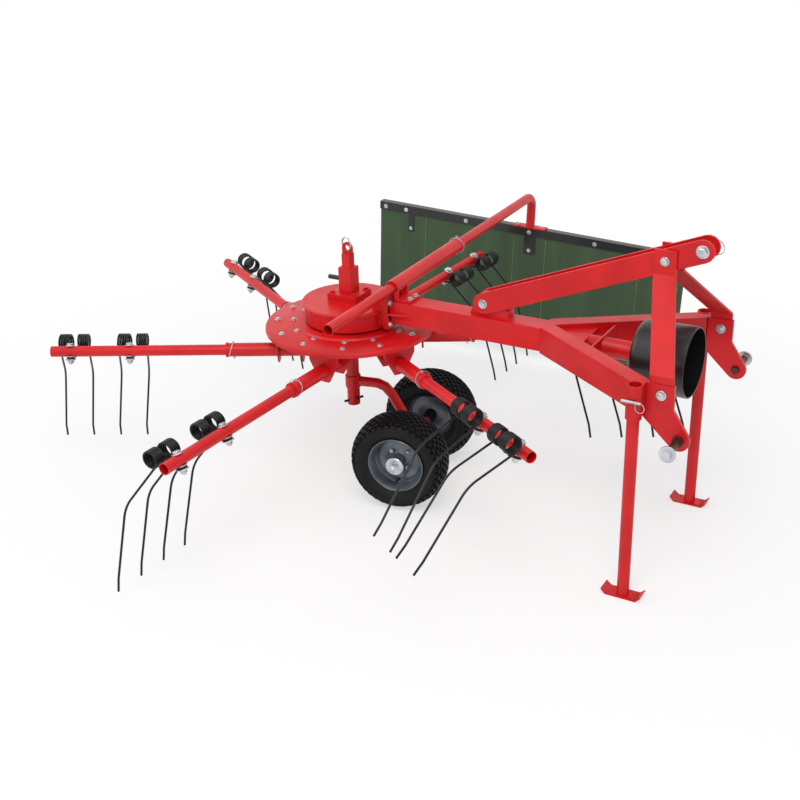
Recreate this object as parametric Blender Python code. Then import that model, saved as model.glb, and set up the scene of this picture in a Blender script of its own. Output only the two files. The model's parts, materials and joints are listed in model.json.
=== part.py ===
"""Tractor-carried rotary hay rake: one driven rotor with six tine arms.

Metres, +Z up, ground at z = 0. While it is modelled the rotor turns about the Z axis,
+X points forward to the tractor and +Y to the side that the swath curtain hangs on.
The last step moves the whole machine so that the origin lies on the ground under the
middle of its bounding box.
"""

import math
from dataclasses import dataclass

import bmesh
import bpy
from mathutils import Matrix, Vector

# --------------------------------------------------------------------- driving sizes
FIT = 0.0003                # gap between pieces that touch
BEARING_GAP = 0.0004        # gap round a turning shaft, on the radius

# rotor: disc, hub tube and arm sockets
DISC_RADIUS = 0.338
DISC_TOP = 0.664
DISC_THICKNESS = 0.0045
DISC_LIP = 0.022            # height of the turned-down edge
DISC_RING = 0.213           # radius of the raised ring on the disc
DISC_RING_HEIGHT = 0.008
DISC_SEGMENTS = 36
HUB_RADIUS = 0.046
HUB_BOTTOM = 0.583
ARM_COUNT = 6
ARM_HEIGHT = 0.571          # arm axis above the ground
ARM_OFFSET = 0.065          # arm axis ahead of the rotor's radius
SOCKET_RADIUS = 0.0275
SOCKET_START = 0.130
SOCKET_END = 0.485
ARM_RADIUS = 0.0215
ARM_WALL = 0.003
ARM_START = 0.140
ARM_END = 1.194
ARM_COLLAR = 0.030

# each arm: its direction, its pitch about its own axis, and how far the tines of its
# outer and inner spring lean outwards
ARM_COLUMNS = ("name", "azimuth", "pitch", "outer_lean", "inner_lean")
ARMS = (
    ("arm_1", 208.0, -17.0, 0.17, 0.18),
    ("arm_2", 268.0, -20.0, 0.17, 0.18),
    ("arm_3", 328.0, 19.0, 0.18, 0.33),
    ("arm_4", 28.0, 24.0, 0.17, 0.17),
    ("arm_5", 88.0, -19.0, 0.18, 0.22),
    ("arm_6", 148.0, -18.0, 0.17, 0.18),
)

# spring tines
TINE_PLACES = (("outer", 1.118), ("inner", 0.880))      # name, distance along the arm
WIRE = 0.0048               # radius of the tine wire
COIL_RADIUS = 0.034
COIL_BORE = 0.0255
COIL_LENGTH = 0.052
COIL_SPLIT = 0.020          # space between the two coils of a spring
COIL_TRAIL = 0.0715         # coil axis behind the arm axis
COIL_RISE = 0.030           # and above it
TINE_UPPER = (0.209, 33.0)  # length, angle below the trailing direction
TINE_LOWER = (0.271, 63.6)
TINE_TIP = 0.052
TIP_TURN = 0.12             # inward turn of the tip

# housing over the rotor, and the post on it
DRUM_RADIUS = 0.178
DRUM_BOTTOM = 0.679
DRUM_TOP = 0.757
DRUM_WALL = 0.005
LID_RADIUS = 0.190
LID_THICKNESS = 0.012
BLOCK_SIZE = (0.130, 0.120, 0.032)
NECK_SIZE = (0.120, 0.105)  # width, height
FLANGE_FACE = 0.206         # x of the joint between housing and beam
FLANGE_THICKNESS = 0.012
FLANGE_SIZE = (0.150, 0.120)
POST_SIDE = 0.058
POST_TOP = 0.890
POST_BAR = 0.036
POST_BAR_TOP = 0.945
EYE_RADIUS = 0.022
HANDLE_RADIUS = 0.009
HANDLE_LENGTH = 0.062
HANDLE_HEIGHT = 0.836

# beam and Y frame
BEAM_SIDE = 0.090
BEAM_WALL = 0.006
BEAM_HEIGHT = 0.750         # beam axis above the ground, also the shaft's
BEAM_END = 0.835
LUG_FRONT = 0.700
LUG_REAR = 0.545
BRANCH_WIDTH = 0.060
BRANCH_HEIGHT = 0.100
BRANCH_WALL = 0.006
BRANCH_START = (0.835, 0.012)
BRANCH_AIM = (1.300, 0.318)
BRANCH_FRONT = 1.335

# hitch
PLATE_OUTER = 0.330         # outer faces of the side plates, from the middle
PLATE_THICKNESS = 0.015
PLATE_FRONT = 1.430
PLATE_TOP = 0.800
PLATE_CORNER = 0.715
LINK_PIN = (1.453, 0.613)
LINK_PIN_RADIUS = 0.014
LINK_PIN_REACH = 0.105
LINK_WASHER = 0.029
PLATE_END_RADIUS = 0.038
BAR_PIVOT = (0.600, 0.845)
BAR_HOLE = (1.400, 1.160)
BAR_WIDTH = 0.080
BAR_THICKNESS = 0.010
BAR_OUTER = 0.035           # outer faces of the two top bars, from the middle
TOP_PIN_RADIUS = 0.0125
STRAP_WIDTH = 0.080
STRAP_THICKNESS = 0.010
STRAP_FOOT_X = 1.385
STRAP_HEAD_X = 1.278
STRAP_LOW_BEND = 0.822
STRAP_HIGH_BEND = 1.060
STRAP_TOP = 1.152

# drive shaft and its guard
SHAFT_RADIUS = 0.0175
SHAFT_START = 0.950
SHAFT_END = 1.355
SHAFT_TUBE = 0.036
SHAFT_TUBE_START = 0.935
SHAFT_TUBE_END = 1.205
GUARD_RADIUS = 0.126
GUARD_WALL = 0.004
GUARD_REAR = 1.190
GUARD_FRONT = 1.392
GUARD_SEGMENTS = 24
CROSS_PLATE_X = 1.060
WEB_FRONT = 1.010

# parking legs
LEG_X = 1.310
LEG_Y = 0.3655
LEG_RADIUS = 0.0215
LEG_WALL = 0.004
LEG_TOP = 0.775
SLEEVE_RADIUS = 0.0275
SLEEVE_TOP = 0.802
SLEEVE_BOTTOM = 0.680
FOOT_SIZE = (0.110, 0.060, 0.006)
FOOT_TIP = 0.016            # length and rise of the bent-up ends

# wheels and what carries them
CARRIAGE_TURN = 11.6        # degrees the wheels are swung about the column
WHEEL_X = 0.265
WHEEL_Y = 0.2125
WHEEL_RADIUS = 0.192
TYRE_WIDTH = 0.163
TYRE_WALL = 0.010
TYRE_SEGMENTS = 24
RIM_SEGMENTS = 20
RIM_RADIUS = 0.1015
RIM_FLANGE = 0.1115
AXLE_RADIUS = 0.0125
COLUMN_RADIUS = 0.026
COLUMN_WALL = 0.005
COLUMN_BOTTOM = 0.304
CARRIER_RADIUS = 0.020
CARRIER_HEIGHT = 0.405
CARRIER_RING = (0.0315, 0.050)      # radius and height of the ring round the column

# swath curtain
CURTAIN_TURN = 1.76         # degrees the arm points rearwards of square
CURTAIN_TILT = 2.9          # degrees the arm is turned in its sleeve
SLEEVE_MIDDLE = (0.200, 0.270, 0.842)
CURTAIN_SLEEVE_LENGTH = 0.600
CURTAIN_SLEEVE_RADIUS = 0.030
SLEEVE_FOOT_REAR = 0.016    # ahead of the arm's axis, clear of the beam's flange
CURTAIN_ARM_RADIUS = 0.021
CURTAIN_ARM_WALL = 0.0025
CURTAIN_ARM_BACK = 0.770    # from the sleeve's middle to the open end
CURTAIN_ARM_REACH = 1.092   # and to the middle of the drop
CURTAIN_DROP = 0.150
CURTAIN_BEND = 0.060
CURTAIN_LENGTH = 1.572
CURTAIN_REAR = 0.805        # rear end of the curtain behind the arm
CURTAIN_HEIGHT = 0.595
CLOTH_THICKNESS = 0.003
RAIL_LEG = 0.040
RAIL_INSET = 0.012          # the rail's upright leg lies this far inside the drop's middle
RAIL_THICKNESS = 0.004
ARM_PLATE = (0.160, 0.044, 0.006)
TAB_PLACES = ((-0.629, 0.030), (0.005, 0.055), (0.633, 0.040))      # along the rail, width
TAB_LENGTH = 0.130


# ----------------------------------------------------------------------------- finish
@dataclass(frozen=True)
class Paint:
    """Colour and surface of one material."""

    colour: tuple
    roughness: float
    metallic: float


RED = Paint((0.74, 0.020, 0.026), 0.38, 0.0)
BLACK = Paint((0.012, 0.013, 0.015), 0.45, 0.0)
SPRING = Paint((0.020, 0.021, 0.024), 0.40, 0.3)
ZINC = Paint((0.62, 0.63, 0.64), 0.30, 1.0)
STEEL = Paint((0.30, 0.32, 0.34), 0.38, 0.8)
RUBBER = Paint((0.022, 0.022, 0.024), 0.80, 0.0)
CLOTH = Paint((0.045, 0.092, 0.042), 0.85, 0.0)


def material(name: str, paint: Paint) -> bpy.types.Material:
    """A Principled material of this paint, for one object."""
    made = bpy.data.materials.new(name)
    made.use_nodes = True
    shader = made.node_tree.nodes["Principled BSDF"]
    shader.inputs["Base Color"].default_value = (*paint.colour, 1.0)
    shader.inputs["Roughness"].default_value = paint.roughness
    shader.inputs["Metallic"].default_value = paint.metallic
    return made


# ----------------------------------------------------------------------- shape helpers
def polygon(centre, radius: float, start: float, end: float, steps: int) -> list:
    """Points on an arc from one angle to another, in degrees, both ends included."""
    angles = [math.radians(start + (end - start) * i / steps) for i in range(steps + 1)]
    return [(centre[0] + radius * math.cos(a), centre[1] + radius * math.sin(a)) for a in angles]


def bore_round(radius: float, segments: int, gap: float = FIT) -> float:
    """Corner radius of a faceted bore whose flats clear a shaft of this radius."""
    return (radius + gap) / math.cos(math.pi / segments)


def turned(profile, segments: int, axis: str = "Z") -> bmesh.types.BMesh:
    """A closed ring turned from a closed profile of (radius, height) points."""
    bm = bmesh.new()
    verts = [bm.verts.new((radius, 0.0, height)) for radius, height in profile]
    edges = [bm.edges.new((a, b)) for a, b in zip(verts, verts[1:] + verts[:1])]
    bmesh.ops.spin(bm, geom=verts + edges, cent=(0, 0, 0), axis=(0, 0, 1),
                   angle=math.tau, steps=segments, use_merge=True)
    bmesh.ops.remove_doubles(bm, verts=bm.verts, dist=1e-6)
    bmesh.ops.recalc_face_normals(bm, faces=bm.faces)
    turns = {"Z": Matrix(), "X": Matrix.Rotation(math.radians(90), 4, "Y"),
             "Y": Matrix.Rotation(math.radians(-90), 4, "X")}
    bm.transform(turns[axis])
    return bm


def pipe(outer: float, inner: float, start: float, end: float, segments: int, axis: str = "Z"):
    """A straight tube along an axis, open at both ends."""
    return turned([(inner, start), (outer, start), (outer, end), (inner, end)], segments, axis)


def rod(radius: float, start: float, end: float, segments: int, axis: str = "Z"):
    """A straight solid rod along an axis."""
    bm = bmesh.new()
    bmesh.ops.create_cone(bm, cap_ends=True, segments=segments, radius1=radius, radius2=radius,
                          depth=end - start)
    bm.transform(Matrix.Translation((0, 0, (start + end) / 2)))
    turns = {"Z": Matrix(), "X": Matrix.Rotation(math.radians(90), 4, "Y"),
             "Y": Matrix.Rotation(math.radians(-90), 4, "X")}
    bm.transform(turns[axis])
    return bm


def block(low, high) -> bmesh.types.BMesh:
    """A box between two corners."""
    bm = bmesh.new()
    bmesh.ops.create_cube(bm, size=1.0)
    size = [b - a for a, b in zip(low, high)]
    middle = [(a + b) / 2 for a, b in zip(low, high)]
    bm.transform(Matrix.Translation(middle) @ Matrix.Diagonal((*size, 1.0)))
    return bm


def prism(outline, low: float, high: float, plane: str = "XY") -> bmesh.types.BMesh:
    """An outline extruded from low to high along the axis square to its plane."""
    place = {"XY": lambda u, v, w: (u, v, w),
             "XZ": lambda u, v, w: (u, w, v),
             "YZ": lambda u, v, w: (w, u, v)}[plane]
    bm = bmesh.new()
    face = bm.faces.new([bm.verts.new(place(u, v, low)) for u, v in outline])
    grown = bmesh.ops.extrude_face_region(bm, geom=[face])
    moved = [item for item in grown["geom"] if isinstance(item, bmesh.types.BMVert)]
    bmesh.ops.translate(bm, verts=moved, vec=Vector(place(0, 0, high)) - Vector(place(0, 0, low)))
    bmesh.ops.recalc_face_normals(bm, faces=bm.faces)
    return bm


def trimmed(bm: bmesh.types.BMesh, planes) -> bmesh.types.BMesh:
    """The part of a solid behind each plane, given as (point, outward normal)."""
    for point, normal in planes:
        everything = bm.verts[:] + bm.edges[:] + bm.faces[:]
        cut = bmesh.ops.bisect_plane(bm, geom=everything, plane_co=point, plane_no=normal,
                                     clear_outer=True, dist=1e-7)
        rim = [item for item in cut["geom_cut"] if isinstance(item, bmesh.types.BMEdge)]
        bmesh.ops.contextual_create(bm, geom=rim)
    bmesh.ops.recalc_face_normals(bm, faces=bm.faces)
    return bm


def wire(points, radius: float, sides: int) -> bmesh.types.BMesh:
    """A solid round bar along a run of points, from a bevelled curve."""
    curve = bpy.data.curves.new("wire", "CURVE")
    curve.dimensions = "3D"
    curve.bevel_depth = radius
    curve.bevel_resolution = sides // 2 - 2
    curve.use_fill_caps = True
    spline = curve.splines.new("POLY")
    spline.points.add(len(points) - 1)
    for target, point in zip(spline.points, points):
        target.co = (*point, 1.0)
    carrier = bpy.data.objects.new("wire", curve)
    mesh = bpy.data.meshes.new_from_object(carrier)
    bm = bmesh.new()
    bm.from_mesh(mesh)
    bmesh.ops.remove_doubles(bm, verts=bm.verts, dist=1e-6)
    bmesh.ops.recalc_face_normals(bm, faces=bm.faces)
    bpy.data.objects.remove(carrier)
    bpy.data.curves.remove(curve)
    bpy.data.meshes.remove(mesh)
    return bm


def combined(operation: str, base: bmesh.types.BMesh, *others) -> bmesh.types.BMesh:
    """A solid united with others, or cut by them, through the exact Boolean."""
    objects = []
    for bm in (base, *others):
        mesh = bpy.data.meshes.new("step")
        bm.to_mesh(mesh)
        bm.free()
        made = bpy.data.objects.new("step", mesh)
        bpy.context.scene.collection.objects.link(made)
        objects.append(made)
    for other in objects[1:]:
        step = objects[0].modifiers.new("step", "BOOLEAN")
        step.operation = operation
        step.object = other
    graph = bpy.context.evaluated_depsgraph_get()
    mesh = bpy.data.meshes.new_from_object(objects[0].evaluated_get(graph))
    result = bmesh.new()
    result.from_mesh(mesh)
    bmesh.ops.remove_doubles(result, verts=result.verts, dist=1e-6)
    bmesh.ops.dissolve_degenerate(result, edges=result.edges, dist=1e-6)
    bmesh.ops.recalc_face_normals(result, faces=result.faces)
    for made in objects:
        bpy.data.objects.remove(made)
    return result


def united(base, *others):
    return combined("UNION", base, *others)


def cut(base, *others):
    return combined("DIFFERENCE", base, *others)


def moved(bm: bmesh.types.BMesh, vector) -> bmesh.types.BMesh:
    bm.transform(Matrix.Translation(vector))
    return bm


def mirrored(bm: bmesh.types.BMesh) -> bmesh.types.BMesh:
    """The same solid on the other side of the machine."""
    bm.transform(Matrix.Diagonal((1, -1, 1, 1)))
    bmesh.ops.reverse_faces(bm, faces=bm.faces)
    return bm


def node(name: str, bm: bmesh.types.BMesh, paint: Paint, parent, sharp: float = 32.0):
    """Turn a solid into a named object under its parent."""
    mesh = bpy.data.meshes.new(name)
    bm.to_mesh(mesh)
    bm.free()
    mesh.shade_smooth()
    mesh.set_sharp_from_angle(angle=math.radians(sharp))
    made = bpy.data.objects.new(name, mesh)
    made.data.materials.append(material(name, paint))
    made.parent = parent
    bpy.context.scene.collection.objects.link(made)
    return made


def pivot(name: str, parent, place=(0, 0, 0), turn=(0, 0, 0)):
    """An empty on a joint's axis. Its turn is in degrees about X, Y and Z."""
    made = bpy.data.objects.new(name, None)
    made.location = place
    made.rotation_euler = [math.radians(angle) for angle in turn]
    made.parent = parent
    bpy.context.scene.collection.objects.link(made)
    return made


# ------------------------------------------------------------------------------- rotor
def rotor_disc() -> bmesh.types.BMesh:
    """Dished disc with a turned-down edge, a raised ring and the hub tube on the column."""
    under = DISC_TOP - DISC_THICKNESS
    bore = bore_round(COLUMN_RADIUS, DISC_SEGMENTS, BEARING_GAP)
    lip_inner = DISC_RADIUS - DISC_THICKNESS
    edge = polygon((DISC_RADIUS - 0.010, DISC_TOP - 0.010), 0.010, 90, 0, 2)
    profile = [(bore, HUB_BOTTOM), (HUB_RADIUS, HUB_BOTTOM), (HUB_RADIUS, under),
               (lip_inner, under), (lip_inner, DISC_TOP - DISC_LIP), (DISC_RADIUS, DISC_TOP - DISC_LIP),
               *reversed(edge), (DISC_RING + 0.006, DISC_TOP),
               (DISC_RING, DISC_TOP + DISC_RING_HEIGHT), (bore, DISC_TOP + DISC_RING_HEIGHT)]
    return turned(profile, DISC_SEGMENTS)


def arm_socket() -> bmesh.types.BMesh:
    """Bearing tube for one arm on its bolted plate, in the arm's frame: +X out, -Y trailing."""
    top = DISC_TOP - DISC_THICKNESS - FIT - ARM_HEIGHT
    plate = block((0.175, -0.035 - ARM_OFFSET, top - 0.008), (0.295, 0.145 - ARM_OFFSET, top))
    rib_outline = [(-0.065, top - 0.004), (0.065, top - 0.004), (0.065, 0.036),
                   (0.022, -0.046), (-0.022, -0.046), (-0.065, 0.036)]
    ribs = [prism(rib_outline, x, x + 0.008, "YZ") for x in (0.183, 0.279)]
    tube = rod(SOCKET_RADIUS, SOCKET_START, SOCKET_END, 14, "X")
    bore = rod(bore_round(ARM_RADIUS, 14, BEARING_GAP), SOCKET_START - 0.01, SOCKET_END + 0.01, 14, "X")
    return cut(united(plate, *ribs, tube), bore)


def tine_arm() -> bmesh.types.BMesh:
    """Arm tube with the collar that runs against the socket's end."""
    inner = ARM_RADIUS - ARM_WALL
    collar = SOCKET_END + FIT
    profile = [(inner, ARM_START), (ARM_RADIUS, ARM_START), (ARM_RADIUS, collar),
               (ARM_COLLAR, collar), (ARM_COLLAR, collar + 0.008), (ARM_RADIUS, collar + 0.008),
               (ARM_RADIUS, ARM_END), (inner, ARM_END)]
    return turned(profile, 14, "X")


def tine_leg(side: int, lean: float) -> list:
    """Points of one tine from its coil to its tip, in the spring's frame."""
    upper_length, upper_angle = TINE_UPPER
    lower_length, lower_angle = TINE_LOWER
    upper = Vector((0.0, -math.cos(math.radians(upper_angle)), -math.sin(math.radians(upper_angle))))
    lower = Vector((0.0, -math.cos(math.radians(lower_angle)), -math.sin(math.radians(lower_angle))))
    outwards = Vector((lean, 0.0, 0.0))
    wind = (COIL_RADIUS + COIL_BORE) / 2
    leave = math.radians(upper_angle)
    start = Vector((side * (COIL_SPLIT / 2 + COIL_LENGTH - WIRE),
                    wind * math.sin(leave) - COIL_TRAIL, COIL_RISE - wind * math.cos(leave)))
    bend = start + upper_length * (upper + outwards)
    kink = bend + lower_length * (lower + outwards)
    tip = kink + TINE_TIP * (lower + outwards - Vector((TIP_TURN, 0.0, 0.0)))
    ease = 0.035
    return [start, bend - ease * (upper + outwards), bend + ease * (lower + outwards), kink, tip]


def double_tine(lean: float) -> bmesh.types.BMesh:
    """Two coils, the wire that joins them under the arm, and a tine from each."""
    solids = []
    for side in (-1, 1):
        near = side * COIL_SPLIT / 2
        far = side * (COIL_SPLIT / 2 + COIL_LENGTH)
        coil = pipe(COIL_RADIUS, COIL_BORE, min(near, far), max(near, far), 8, "X")
        solids.append(moved(coil, (0.0, -COIL_TRAIL, COIL_RISE)))
        solids.append(wire(tine_leg(side, lean), WIRE, 6))
    under = -(ARM_RADIUS + FIT + WIRE * math.cos(math.radians(30)))
    foot = COIL_RISE - (COIL_RADIUS + COIL_BORE) / 2
    half = [(COIL_SPLIT / 2 + WIRE, -COIL_TRAIL, foot), (0.0115, -0.040, -0.022),
            (0.0112, -0.010, under), (0.0085, 0.014, under)]
    loop = [(-x, y, z) for x, y, z in half] + [(x, y, z) for x, y, z in reversed(half)]
    solids.append(wire(loop, WIRE, 6))
    return united(*solids)


def build_rotor(root) -> None:
    """The disc, and for each arm its socket, its tube and its two double tines."""
    rotor = pivot("rotor_axis", root)
    node("rotor_disc", rotor_disc(), RED, rotor)
    for row in ARMS:
        arm = dict(zip(ARM_COLUMNS, row))
        spoke = Matrix.Rotation(math.radians(arm["azimuth"]), 4, "Z")
        place = spoke @ Vector((0.0, ARM_OFFSET, ARM_HEIGHT))
        seat = pivot(arm["name"] + "_seat", rotor, place, (0, 0, arm["azimuth"]))
        node(arm["name"] + "_socket", arm_socket(), RED, seat)
        axis = pivot(arm["name"] + "_axis", rotor, place, (-arm["pitch"], 0, arm["azimuth"]))
        node(arm["name"] + "_tube", tine_arm(), RED, axis)
        for place_name, along in TINE_PLACES:
            spring = moved(double_tine(arm[place_name + "_lean"]), (along, 0.0, 0.0))
            node(arm["name"] + "_tines_" + place_name, spring, SPRING, axis)


# ----------------------------------------------------------- housing, column and wheels
def rotor_housing() -> bmesh.types.BMesh:
    """Housing with its lid and the block and neck that join it to post and beam."""
    under_lid = DRUM_TOP - LID_THICKNESS
    profile = [(DRUM_RADIUS - DRUM_WALL, DRUM_BOTTOM), (DRUM_RADIUS, DRUM_BOTTOM),
               (DRUM_RADIUS, under_lid), (LID_RADIUS, under_lid), (LID_RADIUS, DRUM_TOP - 0.005),
               (LID_RADIUS - 0.005, DRUM_TOP), (0.010, DRUM_TOP), (0.010, under_lid),
               (DRUM_RADIUS - DRUM_WALL, under_lid)]
    shell = turned(profile, 28)
    width, depth, height = BLOCK_SIZE
    top = block((-width / 2, -depth / 2, DRUM_TOP - 0.004), (width / 2, depth / 2, DRUM_TOP + height))
    neck_width, neck_height = NECK_SIZE
    neck = block((DRUM_RADIUS - 0.040, -neck_width / 2, BEAM_HEIGHT - neck_height / 2),
                 (FLANGE_FACE - 0.004, neck_width / 2, BEAM_HEIGHT + neck_height / 2))
    flange = flange_plate(FLANGE_FACE - FLANGE_THICKNESS, FLANGE_FACE)
    return united(shell, top, neck, flange)


def flange_plate(rear: float, front: float) -> bmesh.types.BMesh:
    """One plate of the bolted joint between the housing and the beam."""
    width, height = FLANGE_SIZE
    return block((rear, -width / 2, BEAM_HEIGHT - height / 2),
                 (front, width / 2, BEAM_HEIGHT + height / 2))


def adjuster_post() -> bmesh.types.BMesh:
    """Square post with its inner bar and lifting eye."""
    half, bar = POST_SIDE / 2, POST_BAR / 2
    base = DRUM_TOP + BLOCK_SIZE[2] + FIT
    post = block((-half, -half, base), (half, half, POST_TOP))
    inner = block((-bar, -bar, POST_TOP - 0.01), (bar, bar, POST_BAR_TOP))
    eye_centre = (0.0, POST_BAR_TOP + EYE_RADIUS)
    outline = [(-EYE_RADIUS, POST_BAR_TOP - 0.005), (EYE_RADIUS, POST_BAR_TOP - 0.005),
               *polygon(eye_centre, EYE_RADIUS, 0, 180, 8)]
    eye = prism(outline, -0.006, 0.006, "XZ")
    hole = moved(rod(0.011, -0.02, 0.02, 12, "Y"), (0.0, 0.0, eye_centre[1]))
    return cut(united(post, inner, eye), hole)


def adjuster_handle() -> bmesh.types.BMesh:
    """Crank handle behind the post."""
    end = -POST_SIDE / 2 - FIT
    return moved(rod(HANDLE_RADIUS, end - HANDLE_LENGTH, end, 12, "X"), (0.0, 0.0, HANDLE_HEIGHT))


def build_centre(root) -> None:
    """What stands on the rotor's axis and carries it."""
    node("rotor_housing", rotor_housing(), RED, root)
    node("height_adjuster", adjuster_post(), RED, root)
    node("adjuster_handle", adjuster_handle(), BLACK, root)
    top = DRUM_TOP - LID_THICKNESS - FIT
    column = pipe(COLUMN_RADIUS, COLUMN_RADIUS - COLUMN_WALL, COLUMN_BOTTOM, top, 16)
    node("centre_column", column, RED, root)


def wheel_carrier() -> bmesh.types.BMesh:
    """Ring on the column and bent tube to the axle, with the axle and its two shoulders."""
    ring, height = CARRIER_RING
    path = [(ring - 0.003, 0, CARRIER_HEIGHT), (0.105, 0, CARRIER_HEIGHT),
            (0.138, 0, CARRIER_HEIGHT - 0.012), (0.164, 0, CARRIER_HEIGHT - 0.040),
            (WHEEL_X, 0, WHEEL_RADIUS)]
    bore = bore_round(COLUMN_RADIUS, 16, BEARING_GAP)
    collar = pipe(ring, bore, CARRIER_HEIGHT - height / 2, CARRIER_HEIGHT + height / 2, 16)
    bent = wire(path, CARRIER_RADIUS, 12)
    reach = WHEEL_Y + TYRE_WIDTH / 2 + 0.004
    axle = moved(rod(AXLE_RADIUS, -reach, reach, 14, "Y"), (WHEEL_X, 0, WHEEL_RADIUS))
    inner = WHEEL_Y - TYRE_WIDTH / 2 - 0.004
    sleeve = moved(rod(0.021, -inner, inner, 14, "Y"), (WHEEL_X, 0, WHEEL_RADIUS))
    return united(bent, collar, sleeve, axle)


def tyre() -> bmesh.types.BMesh:
    """Hollow tyre, open between its beads, about its own middle and the Y axis."""
    half = TYRE_WIDTH / 2
    bead, tread = bore_round(RIM_RADIUS, TYRE_SEGMENTS), WHEEL_RADIUS
    outer = [(bead, half - 0.030), (0.130, half - 0.008), (0.160, half), (tread - 0.018, half - 0.006),
             (tread, half - 0.030)]
    inner = [(tread - TYRE_WALL, half - 0.034), (0.160, half - TYRE_WALL),
             (bead + 0.006, half - 0.030 - TYRE_WALL), (bead, half - 0.030 - TYRE_WALL)]
    profile = [*reversed(inner), *[(r, -y) for r, y in inner], *[(r, -y) for r, y in outer],
               *reversed(outer)]
    return turned(profile, TYRE_SEGMENTS, "Y")


def wheel_rim() -> bmesh.types.BMesh:
    """Steel rim with a dished disc and a hub on the axle."""
    half = TYRE_WIDTH / 2 - 0.030
    wall = 0.004
    bore = bore_round(AXLE_RADIUS, RIM_SEGMENTS, BEARING_GAP)
    hub = 0.026
    profile = [(bore, -half - 0.020), (hub, -half - 0.020), (hub, -0.004), (0.070, 0.010),
               (RIM_RADIUS - wall, 0.002), (RIM_RADIUS - wall, -half - 0.006),
               (RIM_FLANGE, -half - 0.016), (RIM_FLANGE, -half - 0.012), (RIM_RADIUS, -half - 0.0005),
               (RIM_RADIUS, half + 0.0005), (RIM_FLANGE, half + 0.012), (RIM_FLANGE, half + 0.016),
               (RIM_RADIUS - wall, half + 0.006), (RIM_RADIUS - wall, 0.010), (0.068, 0.018),
               (hub, 0.006), (hub, half + 0.020), (bore, half + 0.020)]
    return turned(profile, RIM_SEGMENTS, "Y")


def build_wheels(root) -> None:
    """The carrier that swings about the column, and the two wheels on its axle."""
    carriage = pivot("carriage_axis", root, turn=(0, 0, CARRIAGE_TURN))
    node("wheel_carrier", wheel_carrier(), RED, carriage)
    for name, side in (("left", 1), ("right", -1)):
        axis = pivot("wheel_" + name + "_axis", carriage, (WHEEL_X, side * WHEEL_Y, WHEEL_RADIUS))
        node("tyre_" + name, tyre(), RUBBER, axis)
        node("rim_" + name, wheel_rim(), STEEL, axis)


# ---------------------------------------------------------------------- beam and hitch
def main_beam() -> bmesh.types.BMesh:
    """Square beam with its flange and the lug that the top bars pivot on."""
    half = BEAM_SIDE / 2
    rear = FLANGE_FACE + FIT
    flange = flange_plate(rear, rear + FLANGE_THICKNESS)
    bar = block((rear + 0.004, -half, BEAM_HEIGHT - half), (BEAM_END, half, BEAM_HEIGHT + half))
    inside = half - BEAM_WALL
    hollow = block((rear + FLANGE_THICKNESS + 0.02, -inside, BEAM_HEIGHT - inside),
                   (BEAM_END + 0.01, inside, BEAM_HEIGHT + inside))
    fins = []
    for side in (-1, 1):
        outline = [(rear + FLANGE_THICKNESS - 0.002, side * (half - 0.002)),
                   (rear + FLANGE_THICKNESS - 0.002, side * FLANGE_SIZE[0] / 2),
                   (rear + 0.110, side * (half - 0.002))]
        fins.append(prism(outline, BEAM_HEIGHT - 0.004, BEAM_HEIGHT + 0.004))
    pivot_x, pivot_z = BAR_PIVOT
    width = BAR_OUTER - BAR_THICKNESS - FIT
    foot = BEAM_HEIGHT + half - 0.002
    outline = [(LUG_REAR, foot), (LUG_FRONT, foot), (LUG_FRONT, foot + 0.030),
               *polygon(BAR_PIVOT, 0.036, 60, 170, 6), (LUG_REAR, foot + 0.012)]
    lug = prism(outline, -width, width, "XZ")
    return united(cut(united(flange, bar), hollow), *fins, lug)


def branch_line(x: float, offset: float) -> float:
    """Distance of a branch's line from the middle at x, moved sideways by offset."""
    (x0, y0), (x1, y1) = BRANCH_START, BRANCH_AIM
    slope = (y1 - y0) / (x1 - x0)
    return y0 + slope * (x - x0) + offset * math.hypot(1.0, slope)


def branch() -> bmesh.types.BMesh:
    """Left branch of the Y frame: a box tube, closed at the front, notched for the sleeve."""
    low, high = BEAM_HEIGHT - BRANCH_HEIGHT / 2, BEAM_HEIGHT + BRANCH_HEIGHT / 2

    def bar(inset: float, x0: float, x1: float):
        half = BRANCH_WIDTH / 2 - inset
        outline = [(x0, branch_line(x0, -half)), (x1, branch_line(x1, -half)),
                   (x1, branch_line(x1, half)), (x0, branch_line(x0, half))]
        return prism(outline, low + inset, high - inset)

    solid = trimmed(bar(0.0, BEAM_END + FIT, BRANCH_FRONT), [((0, FIT / 2, 0), (0, -1, 0))])
    hollow = trimmed(bar(BRANCH_WALL, BEAM_END - 0.01, BRANCH_FRONT - BRANCH_WALL),
                     [((0, FIT / 2 + BRANCH_WALL, 0), (0, -1, 0))])
    notch = moved(rod(bore_round(SLEEVE_RADIUS, 16), low - 0.01, high + 0.01, 16), (LEG_X, LEG_Y, 0.0))
    return cut(solid, hollow, notch)


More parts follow.
